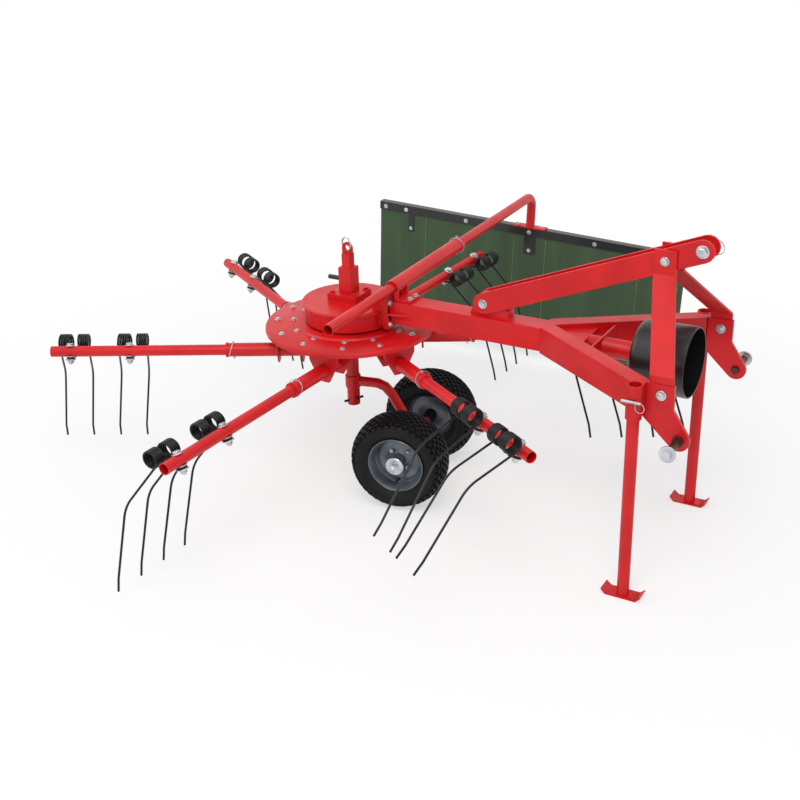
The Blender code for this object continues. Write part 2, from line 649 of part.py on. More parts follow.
def side_plate() -> bmesh.types.BMesh:
    """Left hitch plate, with a round lower end round the link pin."""
    rear = BRANCH_FRONT + FIT
    shelf = BEAM_HEIGHT - BRANCH_HEIGHT / 2 - FIT
    centre = LINK_PIN

    def touch(point, side: int) -> float:
        """Angle on the round end where the edge from a point meets it."""
        away = math.atan2(point[1] - centre[1], point[0] - centre[0])
        distance = math.hypot(point[0] - centre[0], point[1] - centre[1])
        return math.degrees(away + side * math.acos(PLATE_END_RADIUS / distance))

    front, back = (PLATE_FRONT, PLATE_CORNER), (LEG_X - 0.006, shelf)
    arc = polygon(centre, PLATE_END_RADIUS, touch(front, -1), touch(back, 1) - 360.0, 9)
    outline = [(rear, PLATE_TOP), (PLATE_FRONT, PLATE_TOP), front, *arc, back, (rear, shelf)]
    plate = prism(outline, PLATE_OUTER - PLATE_THICKNESS, PLATE_OUTER, "XZ")
    hole = moved(rod(bore_round(LINK_PIN_RADIUS, 14), 0.1, 0.6, 14, "Y"), (centre[0], 0.0, centre[1]))
    return cut(plate, hole)


def link_pin() -> bmesh.types.BMesh:
    """Left lower link pin: a shoulder against the plate, the pin and its end washer."""
    inner = PLATE_OUTER - PLATE_THICKNESS - 0.012
    face = PLATE_OUTER + FIT
    end = PLATE_OUTER + LINK_PIN_REACH
    pin = rod(LINK_PIN_RADIUS, inner, end, 14, "Y")
    shoulder = rod(0.020, face, face + 0.010, 14, "Y")
    washer = rod(LINK_WASHER, end - 0.004, end + 0.004, 14, "Y")
    nut = rod(0.016, end + 0.003, end + 0.016, 6, "Y")
    whole = united(pin, shoulder, washer, nut)
    return moved(whole, (LINK_PIN[0], 0.0, LINK_PIN[1]))


def strap() -> bmesh.types.BMesh:
    """Left bent strap from the side plate up to the top bar."""
    outer, thick = PLATE_OUTER - 0.002, STRAP_THICKNESS
    head = BAR_OUTER + FIT
    lean = math.atan2(outer - thick - head, STRAP_HIGH_BEND - STRAP_LOW_BEND)
    shift = thick * math.tan(lean / 2)
    foot = PLATE_TOP + FIT
    outline = [(outer - thick, foot), (outer, foot), (outer, STRAP_LOW_BEND + shift),
               (head + thick, STRAP_HIGH_BEND + shift), (head + thick, STRAP_TOP), (head, STRAP_TOP),
               (head, STRAP_HIGH_BEND), (outer - thick, STRAP_LOW_BEND)]
    bm = prism(outline, -STRAP_WIDTH / 2, STRAP_WIDTH / 2, "YZ")
    for vert in bm.verts:
        climb = (vert.co.z - STRAP_LOW_BEND) / (STRAP_HIGH_BEND - STRAP_LOW_BEND)
        share = min(max(climb, 0.0), 1.0)
        vert.co.x += STRAP_FOOT_X + (STRAP_HEAD_X - STRAP_FOOT_X) * share
    return bm


def top_bar() -> bmesh.types.BMesh:
    """Left bar of the pair that holds the top link's pin."""
    slope = math.degrees(math.atan2(BAR_HOLE[1] - BAR_PIVOT[1], BAR_HOLE[0] - BAR_PIVOT[0]))
    radius = BAR_WIDTH / 2
    outline = [*polygon(BAR_PIVOT, radius, slope + 90, slope + 270, 8),
               *polygon(BAR_HOLE, radius, slope - 90, slope + 90, 8)]
    bar = prism(outline, BAR_OUTER - BAR_THICKNESS, BAR_OUTER, "XZ")
    hole = moved(rod(TOP_PIN_RADIUS, -0.1, 0.1, 14, "Y"), (BAR_HOLE[0], 0.0, BAR_HOLE[1]))
    return cut(bar, hole)


def leg_sleeve() -> bmesh.types.BMesh:
    """Left sleeve that the parking leg slides in."""
    bore = bore_round(LEG_RADIUS, 16, BEARING_GAP)
    sleeve = pipe(SLEEVE_RADIUS, bore, SLEEVE_BOTTOM, SLEEVE_TOP, 16)
    return moved(sleeve, (LEG_X, LEG_Y, 0.0))


def parking_leg() -> bmesh.types.BMesh:
    """Left leg: a tube on a foot plate with bent-up ends."""
    length, width, thick = FOOT_SIZE
    half = length / 2
    tube = pipe(LEG_RADIUS, LEG_RADIUS - LEG_WALL, thick - 0.001, LEG_TOP, 14)
    outline = [(-half - FOOT_TIP, FOOT_TIP), (-half, 0.0), (half, 0.0), (half + FOOT_TIP, FOOT_TIP),
               (half + FOOT_TIP, FOOT_TIP + thick), (half - 0.002, thick),
               (-half + 0.002, thick), (-half - FOOT_TIP, FOOT_TIP + thick)]
    foot = prism(outline, -width / 2, width / 2, "XZ")
    return united(foot, tube)


def shaft_tube() -> bmesh.types.BMesh:
    """Bearing tube of the drive shaft, on a web and a cross plate between the branches."""
    low, high = BEAM_HEIGHT - 0.036, BEAM_HEIGHT + 0.042
    half = BRANCH_WIDTH / 2
    side = branch_line(CROSS_PLATE_X - 0.004, -half) - FIT
    plate = block((CROSS_PLATE_X - 0.004, -side, low), (CROSS_PLATE_X + 0.004, side, high))
    rear = BRANCH_START[0] + 0.060
    at_rear, at_front = branch_line(rear, -half) - FIT, branch_line(WEB_FRONT, -half) - FIT
    outline = [(rear, -at_rear), (WEB_FRONT, -at_front), (WEB_FRONT, at_front), (rear, at_rear)]
    web = prism(outline, BEAM_HEIGHT + 0.024, BEAM_HEIGHT + 0.034)
    tube = moved(rod(SHAFT_TUBE, SHAFT_TUBE_START, SHAFT_TUBE_END, 18, "X"), (0, 0, BEAM_HEIGHT))
    bore = moved(rod(bore_round(SHAFT_RADIUS, 14, BEARING_GAP), 0.8, 1.3, 14, "X"), (0, 0, BEAM_HEIGHT))
    return cut(united(tube, plate, web), bore)


def shaft_guard() -> bmesh.types.BMesh:
    """Round guard, open at the front, on the end of the bearing tube."""
    corner = polygon((0.0, 0.0), 0.030, 0, 90, 3)
    outside = [(GUARD_RADIUS - 0.030 + r, GUARD_REAR + 0.030 - h) for r, h in corner]
    skin = 0.030 - GUARD_WALL
    inside = [(GUARD_RADIUS - 0.030 + r * skin / 0.030, GUARD_REAR + 0.030 - h * skin / 0.030)
              for r, h in reversed(corner)]
    hole = bore_round(SHAFT_TUBE, GUARD_SEGMENTS)
    profile = [(hole, GUARD_REAR + GUARD_WALL), *inside, (GUARD_RADIUS - GUARD_WALL, GUARD_FRONT),
               (GUARD_RADIUS, GUARD_FRONT), *outside, (hole, GUARD_REAR)]
    return moved(turned(profile, GUARD_SEGMENTS, "X"), (0, 0, BEAM_HEIGHT))


def build_hitch(root) -> None:
    """Beam, Y frame, hitch, drive shaft and parking legs."""
    node("main_beam", main_beam(), RED, root)
    node("shaft_tube", shaft_tube(), RED, root)
    node("shaft_guard", shaft_guard(), BLACK, root)
    shaft = pivot("drive_shaft_axis", root, (0, 0, BEAM_HEIGHT))
    node("drive_shaft", rod(SHAFT_RADIUS, SHAFT_START, SHAFT_END, 14, "X"), STEEL, shaft)
    pairs = (("frame_branch", branch, RED), ("side_plate", side_plate, RED), ("link_pin", link_pin, ZINC),
             ("hitch_strap", strap, RED), ("top_bar", top_bar, RED), ("leg_sleeve", leg_sleeve, RED))
    for name, make, paint in pairs:
        node(name + "_left", make(), paint, root)
        node(name + "_right", mirrored(make()), paint, root)
    for name, side in (("left", 1), ("right", -1)):
        axis = pivot("leg_" + name + "_axis", root, (LEG_X, side * LEG_Y, 0.0))
        node("parking_leg_" + name, parking_leg(), RED, axis)


# ----------------------------------------------------------------------------- curtain
def curtain_sleeve() -> bmesh.types.BMesh:
    """Sleeve for the curtain's arm on two ribs and a foot on the beam."""
    half = CURTAIN_SLEEVE_LENGTH / 2
    tube = rod(CURTAIN_SLEEVE_RADIUS, -half, half, 16, "Y")
    bore = rod(bore_round(CURTAIN_ARM_RADIUS, 14, BEARING_GAP), -half - 0.01, half + 0.01, 14, "Y")
    beam_top = BEAM_HEIGHT + BEAM_SIDE / 2 + FIT - SLEEVE_MIDDLE[2]
    start, end = -SLEEVE_MIDDLE[1] - 0.040, -SLEEVE_MIDDLE[1] + 0.042
    rear = SLEEVE_FOOT_REAR
    foot = block((rear, start, beam_top), (rear + 0.072, end, beam_top + 0.010))
    ribs = [block((rear, y, beam_top + 0.005), (rear + 0.020, y + 0.008, -0.004))
            for y in (start, end - 0.008)]
    return cut(united(tube, foot, *ribs), bore)


def curtain_arm() -> bmesh.types.BMesh:
    """Bent tube from its open end to the plate on the rail."""
    bend = [(0.0, CURTAIN_ARM_REACH - CURTAIN_BEND + CURTAIN_BEND * math.sin(a),
             -CURTAIN_BEND + CURTAIN_BEND * math.cos(a))
            for a in (math.radians(18 * step) for step in range(6))]
    low = (0.0, CURTAIN_ARM_REACH, -CURTAIN_DROP)
    path = [(0.0, -CURTAIN_ARM_BACK, 0.0), *bend, low]
    bore = [(0.0, -CURTAIN_ARM_BACK - 0.01, 0.0), *bend, (0.0, CURTAIN_ARM_REACH, -CURTAIN_DROP - 0.03)]
    length, width, thick = ARM_PLATE
    plate = block((-length / 2, CURTAIN_ARM_REACH - width / 2, -CURTAIN_DROP - thick),
                  (length / 2, CURTAIN_ARM_REACH + width / 2, -CURTAIN_DROP + 0.0005))
    tube = cut(wire(path, CURTAIN_ARM_RADIUS, 12), wire(bore, CURTAIN_ARM_RADIUS - CURTAIN_ARM_WALL, 12))
    return united(tube, plate)


def rail_section() -> list:
    """Outline of the rail, an angle open to the outside, as (y, z) from the drop's middle."""
    top = -CURTAIN_DROP - ARM_PLATE[2] - FIT
    front = CURTAIN_ARM_REACH - RAIL_INSET
    return [(front, top - RAIL_LEG), (front + RAIL_THICKNESS, top - RAIL_LEG),
            (front + RAIL_THICKNESS, top - RAIL_THICKNESS), (front + RAIL_LEG, top - RAIL_THICKNESS),
            (front + RAIL_LEG, top), (front, top)]


def curtain_rail() -> bmesh.types.BMesh:
    """Angle rail with the three flat tabs that hang from it in front of the cloth."""
    section = rail_section()
    rail = prism(section, -CURTAIN_REAR, CURTAIN_LENGTH - CURTAIN_REAR, "YZ")
    front, top = section[0][0], section[-1][1]
    tabs = [block((x - width / 2, front, top - TAB_LENGTH), (x + width / 2, front + RAIL_THICKNESS - 0.0005,
                                                            top - RAIL_LEG + 0.001))
            for x, width in TAB_PLACES]
    return united(rail, *tabs)


def curtain_cloth() -> bmesh.types.BMesh:
    """Cloth that hangs behind the rail's upright leg."""
    section = rail_section()
    front = section[1][0] + FIT
    top = section[2][1] - FIT
    return block((-CURTAIN_REAR, front, top - CURTAIN_HEIGHT),
                 (CURTAIN_LENGTH - CURTAIN_REAR, front + CLOTH_THICKNESS, top))


def build_curtain(root) -> None:
    """Sleeve on the beam, and the arm that slides in it with rail and cloth."""
    seat = pivot("curtain_seat", root, SLEEVE_MIDDLE, (0, 0, CURTAIN_TURN))
    node("curtain_sleeve", curtain_sleeve(), RED, seat)
    slide = pivot("curtain_axis", seat, (0, 0, 0), (0, CURTAIN_TILT, 0))
    node("curtain_arm", curtain_arm(), RED, slide)
    node("curtain_rail", curtain_rail(), BLACK, slide)
    node("curtain_cloth", curtain_cloth(), CLOTH, slide)


# ------------------------------------------------------------------------------- whole
def centre_on_origin(root) -> None:
    """Move the machine so that the origin is on the ground under the middle of it."""
    bpy.context.view_layer.update()
    solids = [made for made in bpy.data.objects if made.type == "MESH"]
    points = [made.matrix_world @ vert.co for made in solids for vert in made.data.vertices]
    low = [min(point[i] for point in points) for i in range(3)]
    high = [max(point[i] for point in points) for i in range(3)]
    root.location = (-(low[0] + high[0]) / 2, -(low[1] + high[1]) / 2, -low[2])


def main() -> None:
    for old in list(bpy.data.objects):
        bpy.data.objects.remove(old)
    root = pivot("hay_rake", None)
    build_centre(root)
    build_rotor(root)
    build_wheels(root)
    build_hitch(root)
    build_curtain(root)
    centre_on_origin(root)


main()
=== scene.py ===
"""Looks of the rotary hay rake: paint, spring tines, tyres, fasteners and the curtain."""
import bpy
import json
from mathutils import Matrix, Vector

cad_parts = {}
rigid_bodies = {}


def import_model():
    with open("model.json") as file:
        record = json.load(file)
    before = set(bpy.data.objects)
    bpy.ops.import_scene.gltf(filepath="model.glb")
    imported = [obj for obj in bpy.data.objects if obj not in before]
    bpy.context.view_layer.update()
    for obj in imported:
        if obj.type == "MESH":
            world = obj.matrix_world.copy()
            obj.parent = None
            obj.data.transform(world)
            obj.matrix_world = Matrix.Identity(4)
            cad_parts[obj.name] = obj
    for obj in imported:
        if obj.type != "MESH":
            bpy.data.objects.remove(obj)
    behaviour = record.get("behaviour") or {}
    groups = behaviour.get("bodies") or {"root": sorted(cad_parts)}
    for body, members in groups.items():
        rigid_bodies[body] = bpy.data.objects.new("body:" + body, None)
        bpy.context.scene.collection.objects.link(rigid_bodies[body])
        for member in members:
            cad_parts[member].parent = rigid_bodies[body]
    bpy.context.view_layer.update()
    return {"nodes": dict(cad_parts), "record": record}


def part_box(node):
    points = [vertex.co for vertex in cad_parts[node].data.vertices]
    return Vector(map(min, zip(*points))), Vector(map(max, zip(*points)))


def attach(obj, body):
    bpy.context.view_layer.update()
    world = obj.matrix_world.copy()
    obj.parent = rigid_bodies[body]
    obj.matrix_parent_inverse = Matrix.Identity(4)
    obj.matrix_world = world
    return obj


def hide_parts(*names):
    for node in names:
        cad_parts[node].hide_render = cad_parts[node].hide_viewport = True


for stray in list(bpy.data.objects):
    bpy.data.objects.remove(stray)
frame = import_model()

import functools
import json
import logging
import math
from dataclasses import dataclass, field
from enum import Enum

import bmesh
from mathutils import Euler, Matrix, Vector, noise

log = logging.getLogger("hay_rake")

COLUMN_LOW, COLUMN_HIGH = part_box("centre_column")
ROTOR_AXIS = Vector(((COLUMN_LOW.x + COLUMN_HIGH.x) / 2, (COLUMN_LOW.y + COLUMN_HIGH.y) / 2, 0.0))
UP, AHEAD, LEFT = Vector((0, 0, 1)), Vector((1, 0, 0)), Vector((0, 1, 0))
WHITE = (1.0, 1.0, 1.0, 1.0)
COAT_ROUGHNESS = 0.12


class Slot(Enum):
    """Material slots of the record that a new piece may take its finish from."""

    RED = "red_paint"
    BLACK = "black_paint"
    SPRING = "spring_steel"
    ZINC = "zinc"
    RIM = "rim_silver"
    SHAFT = "shaft_steel"
    RUBBER = "tyre_rubber"
    FABRIC = "curtain_fabric"


# --- node graphs
class Value:
    """An output socket whose arithmetic adds Math nodes to its graph."""

    def __init__(self, graph: "Graph", socket: bpy.types.NodeSocket) -> None:
        """Remember the graph and the socket."""
        self.graph = graph
        self.socket = socket

    def maths(self, operation: str, *values: "Value | float") -> "Value":
        """Add one Math node.

        Args:
            operation: the node's operation.
            values: its inputs in order.

        Returns:
            The node's result.
        """
        return self.graph.add("ShaderNodeMath", {"operation": operation}, dict(enumerate(values)))

    def __add__(self, other: "Value | float") -> "Value":
        """Sum."""
        return self.maths("ADD", self, other)

    def __sub__(self, other: "Value | float") -> "Value":
        """Difference."""
        return self.maths("SUBTRACT", self, other)

    def __rsub__(self, other: "Value | float") -> "Value":
        """Difference from a number."""
        return self.maths("SUBTRACT", other, self)

    def __mul__(self, other: "Value | float") -> "Value":
        """Product."""
        return self.maths("MULTIPLY", self, other)

    __radd__ = __add__
    __rmul__ = __mul__

    def step(self, low: float, high: float) -> "Value":
        """Smooth step from 0 at low to 1 at high."""
        return self.graph.add("ShaderNodeMapRange", {"interpolation_type": "SMOOTHSTEP"},
                              {"Value": self, "From Min": low, "From Max": high})


class Graph:
    """A node tree that is filled by one method."""

    def __init__(self, tree: bpy.types.NodeTree) -> None:
        """Remember the tree."""
        self.tree = tree

    def add(self, kind: str, settings: dict, inputs: dict, output: "int | str" = 0) -> Value:
        """Add a node.

        Args:
            kind: the node's type.
            settings: its properties, set before its inputs.
            inputs: values or links by socket name or index.
            output: the output that is returned.

        Returns:
            The chosen output.
        """
        node = self.tree.nodes.new(kind)
        for name, setting in settings.items():
            setattr(node, name, setting)
        for name, given in inputs.items():
            if isinstance(given, Value):
                self.tree.links.new(given.socket, node.inputs[name])
            else:
                node.inputs[name].default_value = given
        return Value(self, node.outputs[output])

    def place(self) -> Value:
        """The surface's own coordinates."""
        return self.add("ShaderNodeTexCoord", {}, {}, "Object")

    def noise(self, place: Value, scale: float, detail: float) -> Value:
        """A noise factor about 0.5 at a place."""
        inputs = {"Vector": place, "Scale": scale, "Detail": detail}
        return self.add("ShaderNodeTexNoise", {}, inputs, "Fac")

    def mix(self, share: Value, low: "Value | tuple", high: "Value | tuple") -> Value:
        """A colour between two colours."""
        return self.add("ShaderNodeMix", {"data_type": "RGBA"}, {0: share, 6: low, 7: high}, 2)

    def bump(self, height: Value, strength: float, depth: float) -> Value:
        """A relief of a height, for the shader's normal."""
        inputs = {"Strength": strength, "Distance": depth, "Height": height}
        return self.add("ShaderNodeBump", {}, inputs, "Normal")

    def seen(self) -> Value:
        """1 for the rays of the camera, of reflections and of glass, else 0."""
        rays = [self.add("ShaderNodeLightPath", {}, {}, kind)
                for kind in ("Is Camera Ray", "Is Glossy Ray", "Is Transmission Ray")]
        return rays[0].maths("MAXIMUM", rays[0].maths("MAXIMUM", rays[0], rays[1]), rays[2])

    def feed(self, value: Value, node: str, socket: str) -> None:
        """Link a value to a socket of one of the tree's first nodes."""
        self.tree.links.new(value.socket, self.tree.nodes[node].inputs[socket])


def new_material(name: str, settings: dict) -> tuple:
    """Make a material.

    Args:
        name: its name.
        settings: values of its shader's inputs, by socket name.

    Returns:
        The material and its graph.
    """
    material = bpy.data.materials.new(name)
    material.use_nodes = True
    for label, setting in settings.items():
        material.node_tree.nodes["Principled BSDF"].inputs[label].default_value = setting
    return material, Graph(material.node_tree)


def linear(red: int, green: int, blue: int) -> tuple:
    """A colour of 0 to 255 as a linear colour with alpha."""
    shares = [channel / 255 for channel in (red, green, blue)]
    return (*[c / 12.92 if c < 0.04 else ((c + 0.055) / 1.055) ** 2.4 for c in shares], 1.0)


def joint_axis(name: str) -> Vector:
    """The direction of the axis of one of the record's joints."""
    joints = frame["record"]["behaviour"]["joints"]
    return Vector(next(joint["axis"] for joint in joints if joint["name"] == name))


# --- finishes
@dataclass(frozen=True)
class Finish:
    """A surface with slightly uneven colour, uneven gloss and a fine relief."""

    name: str
    slot: Slot
    colour: tuple
    shade: tuple
    roughness: float
    metallic: float = 0.0
    coat: float = 0.0
    patch_scale: float = 6.0
    grain_scale: float = 420.0
    grain_depth: float = 0.00012
    wear: float = 0.06
    specular: float = 0.5

    def surface(self, graph: Graph) -> dict:
        """Colour, roughness and relief, by the shader's sockets.

        Args:
            graph: the material's graph.

        Returns:
            The values that feed the shader, by its inputs' names.
        """
        place = graph.place()
        patches = graph.noise(place, self.patch_scale, 4.0)
        grain = graph.noise(place, self.grain_scale, 2.0)
        rough = (patches - 0.5) * (4 * self.wear) + (grain - 0.5) * self.wear + self.roughness
        return {"Base Color": graph.mix(patches.step(0.30, 0.72), self.colour, self.shade),
                "Roughness": rough, "Normal": graph.bump(grain, 1.0, self.grain_depth)}

    def build(self) -> bpy.types.Material:
        """The finish as a material."""
        material, graph = new_material(self.name, {
            "Metallic": self.metallic, "Specular IOR Level": self.specular,
            "Coat Weight": self.coat, "Coat Roughness": COAT_ROUGHNESS})
        for label, value in self.surface(graph).items():
            graph.feed(value, "Principled BSDF", label)
        return material


@dataclass(frozen=True)
class BandedPaintAndShadeFinish(Finish):
    """A finish whose colour changes between two planes square to an axis."""

    # inner is the band's colour: this dark default is painted shade on the rims' inner sides; the
    # hitch pins give their own real red-brown paint colour.
    inner: tuple = linear(30, 32, 35)
    joint: str = ""
    planes: tuple = (-1.0, 1.0)

    def surface(self, graph: Graph) -> dict:
        """The finish with its other colour between the planes, measured from the rotor's axis.

        Args:
            graph: the material's graph.

        Returns:
            The values that feed the shader, by its inputs' names.
        """
        axis = joint_axis(self.joint) if self.joint else LEFT
        along = graph.add("ShaderNodeVectorMath", {"operation": "DOT_PRODUCT"},
                          {0: graph.place(), 1: tuple(axis)}, "Value") - ROTOR_AXIS.dot(axis)
        # The band: painted shade on the rims' inner sides, real red-brown paint on the hitch pins.
        between = (along.maths("GREATER_THAN", along, self.planes[0])
                   * along.maths("LESS_THAN", along, self.planes[1]))
        given = super().surface(graph)
        return given | {"Base Color": graph.mix(between, given["Base Color"], self.inner)}


@dataclass(frozen=True)
class WovenFinish(Finish):
    """Coated fabric: a fine weave with soft vertical creases, and painted shade in their hollows."""

    thread: float = 0.0022

    def surface(self, graph: Graph) -> dict:
        """Weave and creases that follow the sheet's own UV map, in metres; their low parts get painted
        shade.

        Args:
            graph: the material's graph.

        Returns:
            The values that feed the shader, by its inputs' names.
        """
        flat = graph.add("ShaderNodeUVMap", {"uv_map": "cut"}, {})
        along, across = (graph.add("ShaderNodeTexWave", {"bands_direction": way},
                                   {"Vector": flat, "Scale": 0.314 / self.thread}, "Fac")
                         for way in ("X", "Y"))
        weave = along * across
        stretched = graph.add("ShaderNodeMapping", {}, {"Vector": flat, "Scale": (7.0, 1.1, 1.0)})
        creases = graph.noise(stretched, 1.6, 5.0)
        # painted shade: the colour darkens where the crease and weave height is low, the same height
        # that drives the bump.
        painted_shade = (creases * 0.75 + weave * 0.35).step(0.25, 0.85)
        return {"Base Color": graph.mix(painted_shade, self.shade, self.colour),
                "Roughness": creases * 0.20 + self.roughness,
                "Normal": graph.bump(weave * 0.25 + creases, 0.55, 0.0015)}


ZINC_TONES = (linear(214, 216, 220), linear(168, 171, 176))
PAINT = Finish("rake_red_paint", Slot.RED, linear(208, 14, 20), linear(190, 8, 15), 0.40,
               coat=0.06, grain_scale=260.0, grain_depth=0.00010, specular=0.36)
SATIN_BLACK = Finish("satin_black_paint", Slot.BLACK, linear(24, 25, 27), linear(14, 15, 17),
                     0.38, coat=0.2)
SPRING_BLACK = Finish("black_spring_wire", Slot.SPRING, linear(17, 19, 22), linear(9, 10, 12),
                      0.36, coat=0.08, patch_scale=22.0, specular=0.28)
BRIGHT_ZINC = Finish("bright_zinc", Slot.ZINC, *ZINC_TONES, 0.30, metallic=0.9,
                     patch_scale=38.0, wear=0.10)
# The rim's inner side, between the planes at -0.200 and 0.200 m along its axle, gets painted shade:
# the dark default inner colour.
RIM_SILVER = BandedPaintAndShadeFinish("silver_grey_paint", Slot.RIM, linear(112, 120, 128),
                          linear(84, 92, 100), 0.34, metallic=0.45, coat=0.15, patch_scale=14.0,
                          joint="wheel_left_spin", planes=(-0.200, 0.200))
PIN_STEEL = BandedPaintAndShadeFinish("hitch_pin_steel", Slot.ZINC, *ZINC_TONES, 0.34, metallic=0.8,
                         inner=linear(88, 60, 54), planes=(-0.4305, 0.4305))
MACHINED = Finish("machined_steel", Slot.SHAFT, linear(150, 152, 155), linear(96, 98, 102),
                  0.34, metallic=0.9, patch_scale=30.0, wear=0.10)
RUBBER = Finish("tyre_rubber", Slot.RUBBER, linear(15, 16, 18), linear(8, 9, 10), 0.56,
                patch_scale=12.0, grain_scale=520.0, grain_depth=0.0003, wear=0.12,
                specular=0.22)
# FABRIC's darker second colour is painted shade in the cloth's crease and weave hollows.
FABRIC = WovenFinish("green_curtain_fabric", Slot.FABRIC, linear(72, 96, 62),
                     linear(44, 66, 42), 0.62)
SEAM = Finish("pale_green_seam", Slot.FABRIC, linear(120, 142, 106), linear(96, 120, 86), 0.70,
              patch_scale=40.0)


@functools.cache
def material_of(finish: Finish) -> bpy.types.Material:
    """A finish's material, built once."""
    return finish.build()


# --- objects and trees
def linked(name: str, data: bpy.types.ID) -> bpy.types.Object:
    """A new object in the scene."""
    made = bpy.data.objects.new(name, data)
    bpy.context.scene.collection.objects.link(made)
    return made


def evaluated(carrier: bpy.types.Object) -> bpy.types.Mesh:
    """The mesh that an object's modifiers make; the object itself is removed."""
    graph = bpy.context.evaluated_depsgraph_get()
    mesh = bpy.data.meshes.new_from_object(carrier.evaluated_get(graph))
    bpy.data.objects.remove(carrier)
    return mesh


class Tree:
    """A Geometry Nodes group with one geometry in and one out."""

    def __init__(self, name: str, inputs: dict) -> None:
        """Make the group with its inputs.

        Args:
            name: the group's name.
            inputs: kinds of socket by label, beside geometry and material.
        """
        self.group = bpy.data.node_groups.new(name, "GeometryNodeTree")
        face = self.group.interface
        face.new_socket("Geometry", in_out="OUTPUT", socket_type="NodeSocketGeometry")
        self.names = {}
        for label, kind in {"Geometry": "Geometry", **inputs, "Material": "Material"}.items():
            made = face.new_socket(label, in_out="INPUT", socket_type="NodeSocket" + kind)
            self.names[label] = made.identifier
        self.graph = Graph(self.group)
        self.inside = self.group.nodes.new("NodeGroupInput")

    def given(self, label: str) -> Value:
        """One of the group's inputs."""
        return Value(self.graph, self.inside.outputs[label])

    def end(self, geometry: Value) -> None:
        """Realize, paint and hand out the geometry."""
        real = self.graph.add("GeometryNodeRealizeInstances", {}, {"Geometry": geometry})
        painted = self.graph.add("GeometryNodeSetMaterial", {},
                                 {"Geometry": real, "Material": self.given("Material")})
        out = self.group.nodes.new("NodeGroupOutput")
        self.group.links.new(painted.socket, out.inputs["Geometry"])

    def mesh(self, carrier: bpy.types.Object, values: dict) -> bpy.types.Mesh:
        """Run the group on an object and take the result as a plain mesh.

        Args:
            carrier: the object that holds the input geometry, removed afterwards.
            values: the group's inputs by name.

        Returns:
            The finished mesh.
        """
        step = carrier.modifiers.new(self.group.name, "NODES")
        step.node_group = self.group
        for label, value in values.items():
            step[self.names[label]] = value
        return evaluated(carrier)


def wire_tree() -> Tree:
    """A round bar swept along each spline."""
    tree = Tree("swept_bar", {"Radius": "Float", "Sides": "Int"})
    ring = tree.graph.add("GeometryNodeCurvePrimitiveCircle", {},
                          {"Resolution": tree.given("Sides"), "Radius": tree.given("Radius")})
    bar = tree.graph.add("GeometryNodeCurveToMesh", {}, {
        "Curve": tree.given("Geometry"), "Profile Curve": ring, "Fill Caps": True})
    tree.end(tree.graph.add("GeometryNodeSetShadeSmooth", {},
                            {"Geometry": bar, "Shade Smooth": True}))
    return tree


def scatter_tree() -> Tree:
    """A copy of one shape on each point, turned by two attributes and scaled by a third."""
    tree = Tree("placed_copies", {"Shape": "Object"})
    graph = tree.graph
    shape = graph.add("GeometryNodeObjectInfo", {}, {"Object": tree.given("Shape")}, "Geometry")
    facing, heading, size = (
        graph.add("GeometryNodeInputNamedAttribute", {"data_type": kind}, {"Name": label})
        for label, kind in (("facing", "FLOAT_VECTOR"), ("heading", "FLOAT_VECTOR"),
                            ("size", "FLOAT")))
    upright = graph.add("FunctionNodeAlignRotationToVector", {"axis": "Z"}, {"Vector": facing})
    turned_about = graph.add("FunctionNodeAlignRotationToVector", {"axis": "X", "pivot_axis": "Z"},
                             {"Rotation": upright, "Vector": heading})
    tree.end(graph.add("GeometryNodeInstanceOnPoints", {}, {
        "Points": tree.given("Geometry"), "Instance": shape, "Rotation": turned_about,
        "Scale": size}))
    return tree


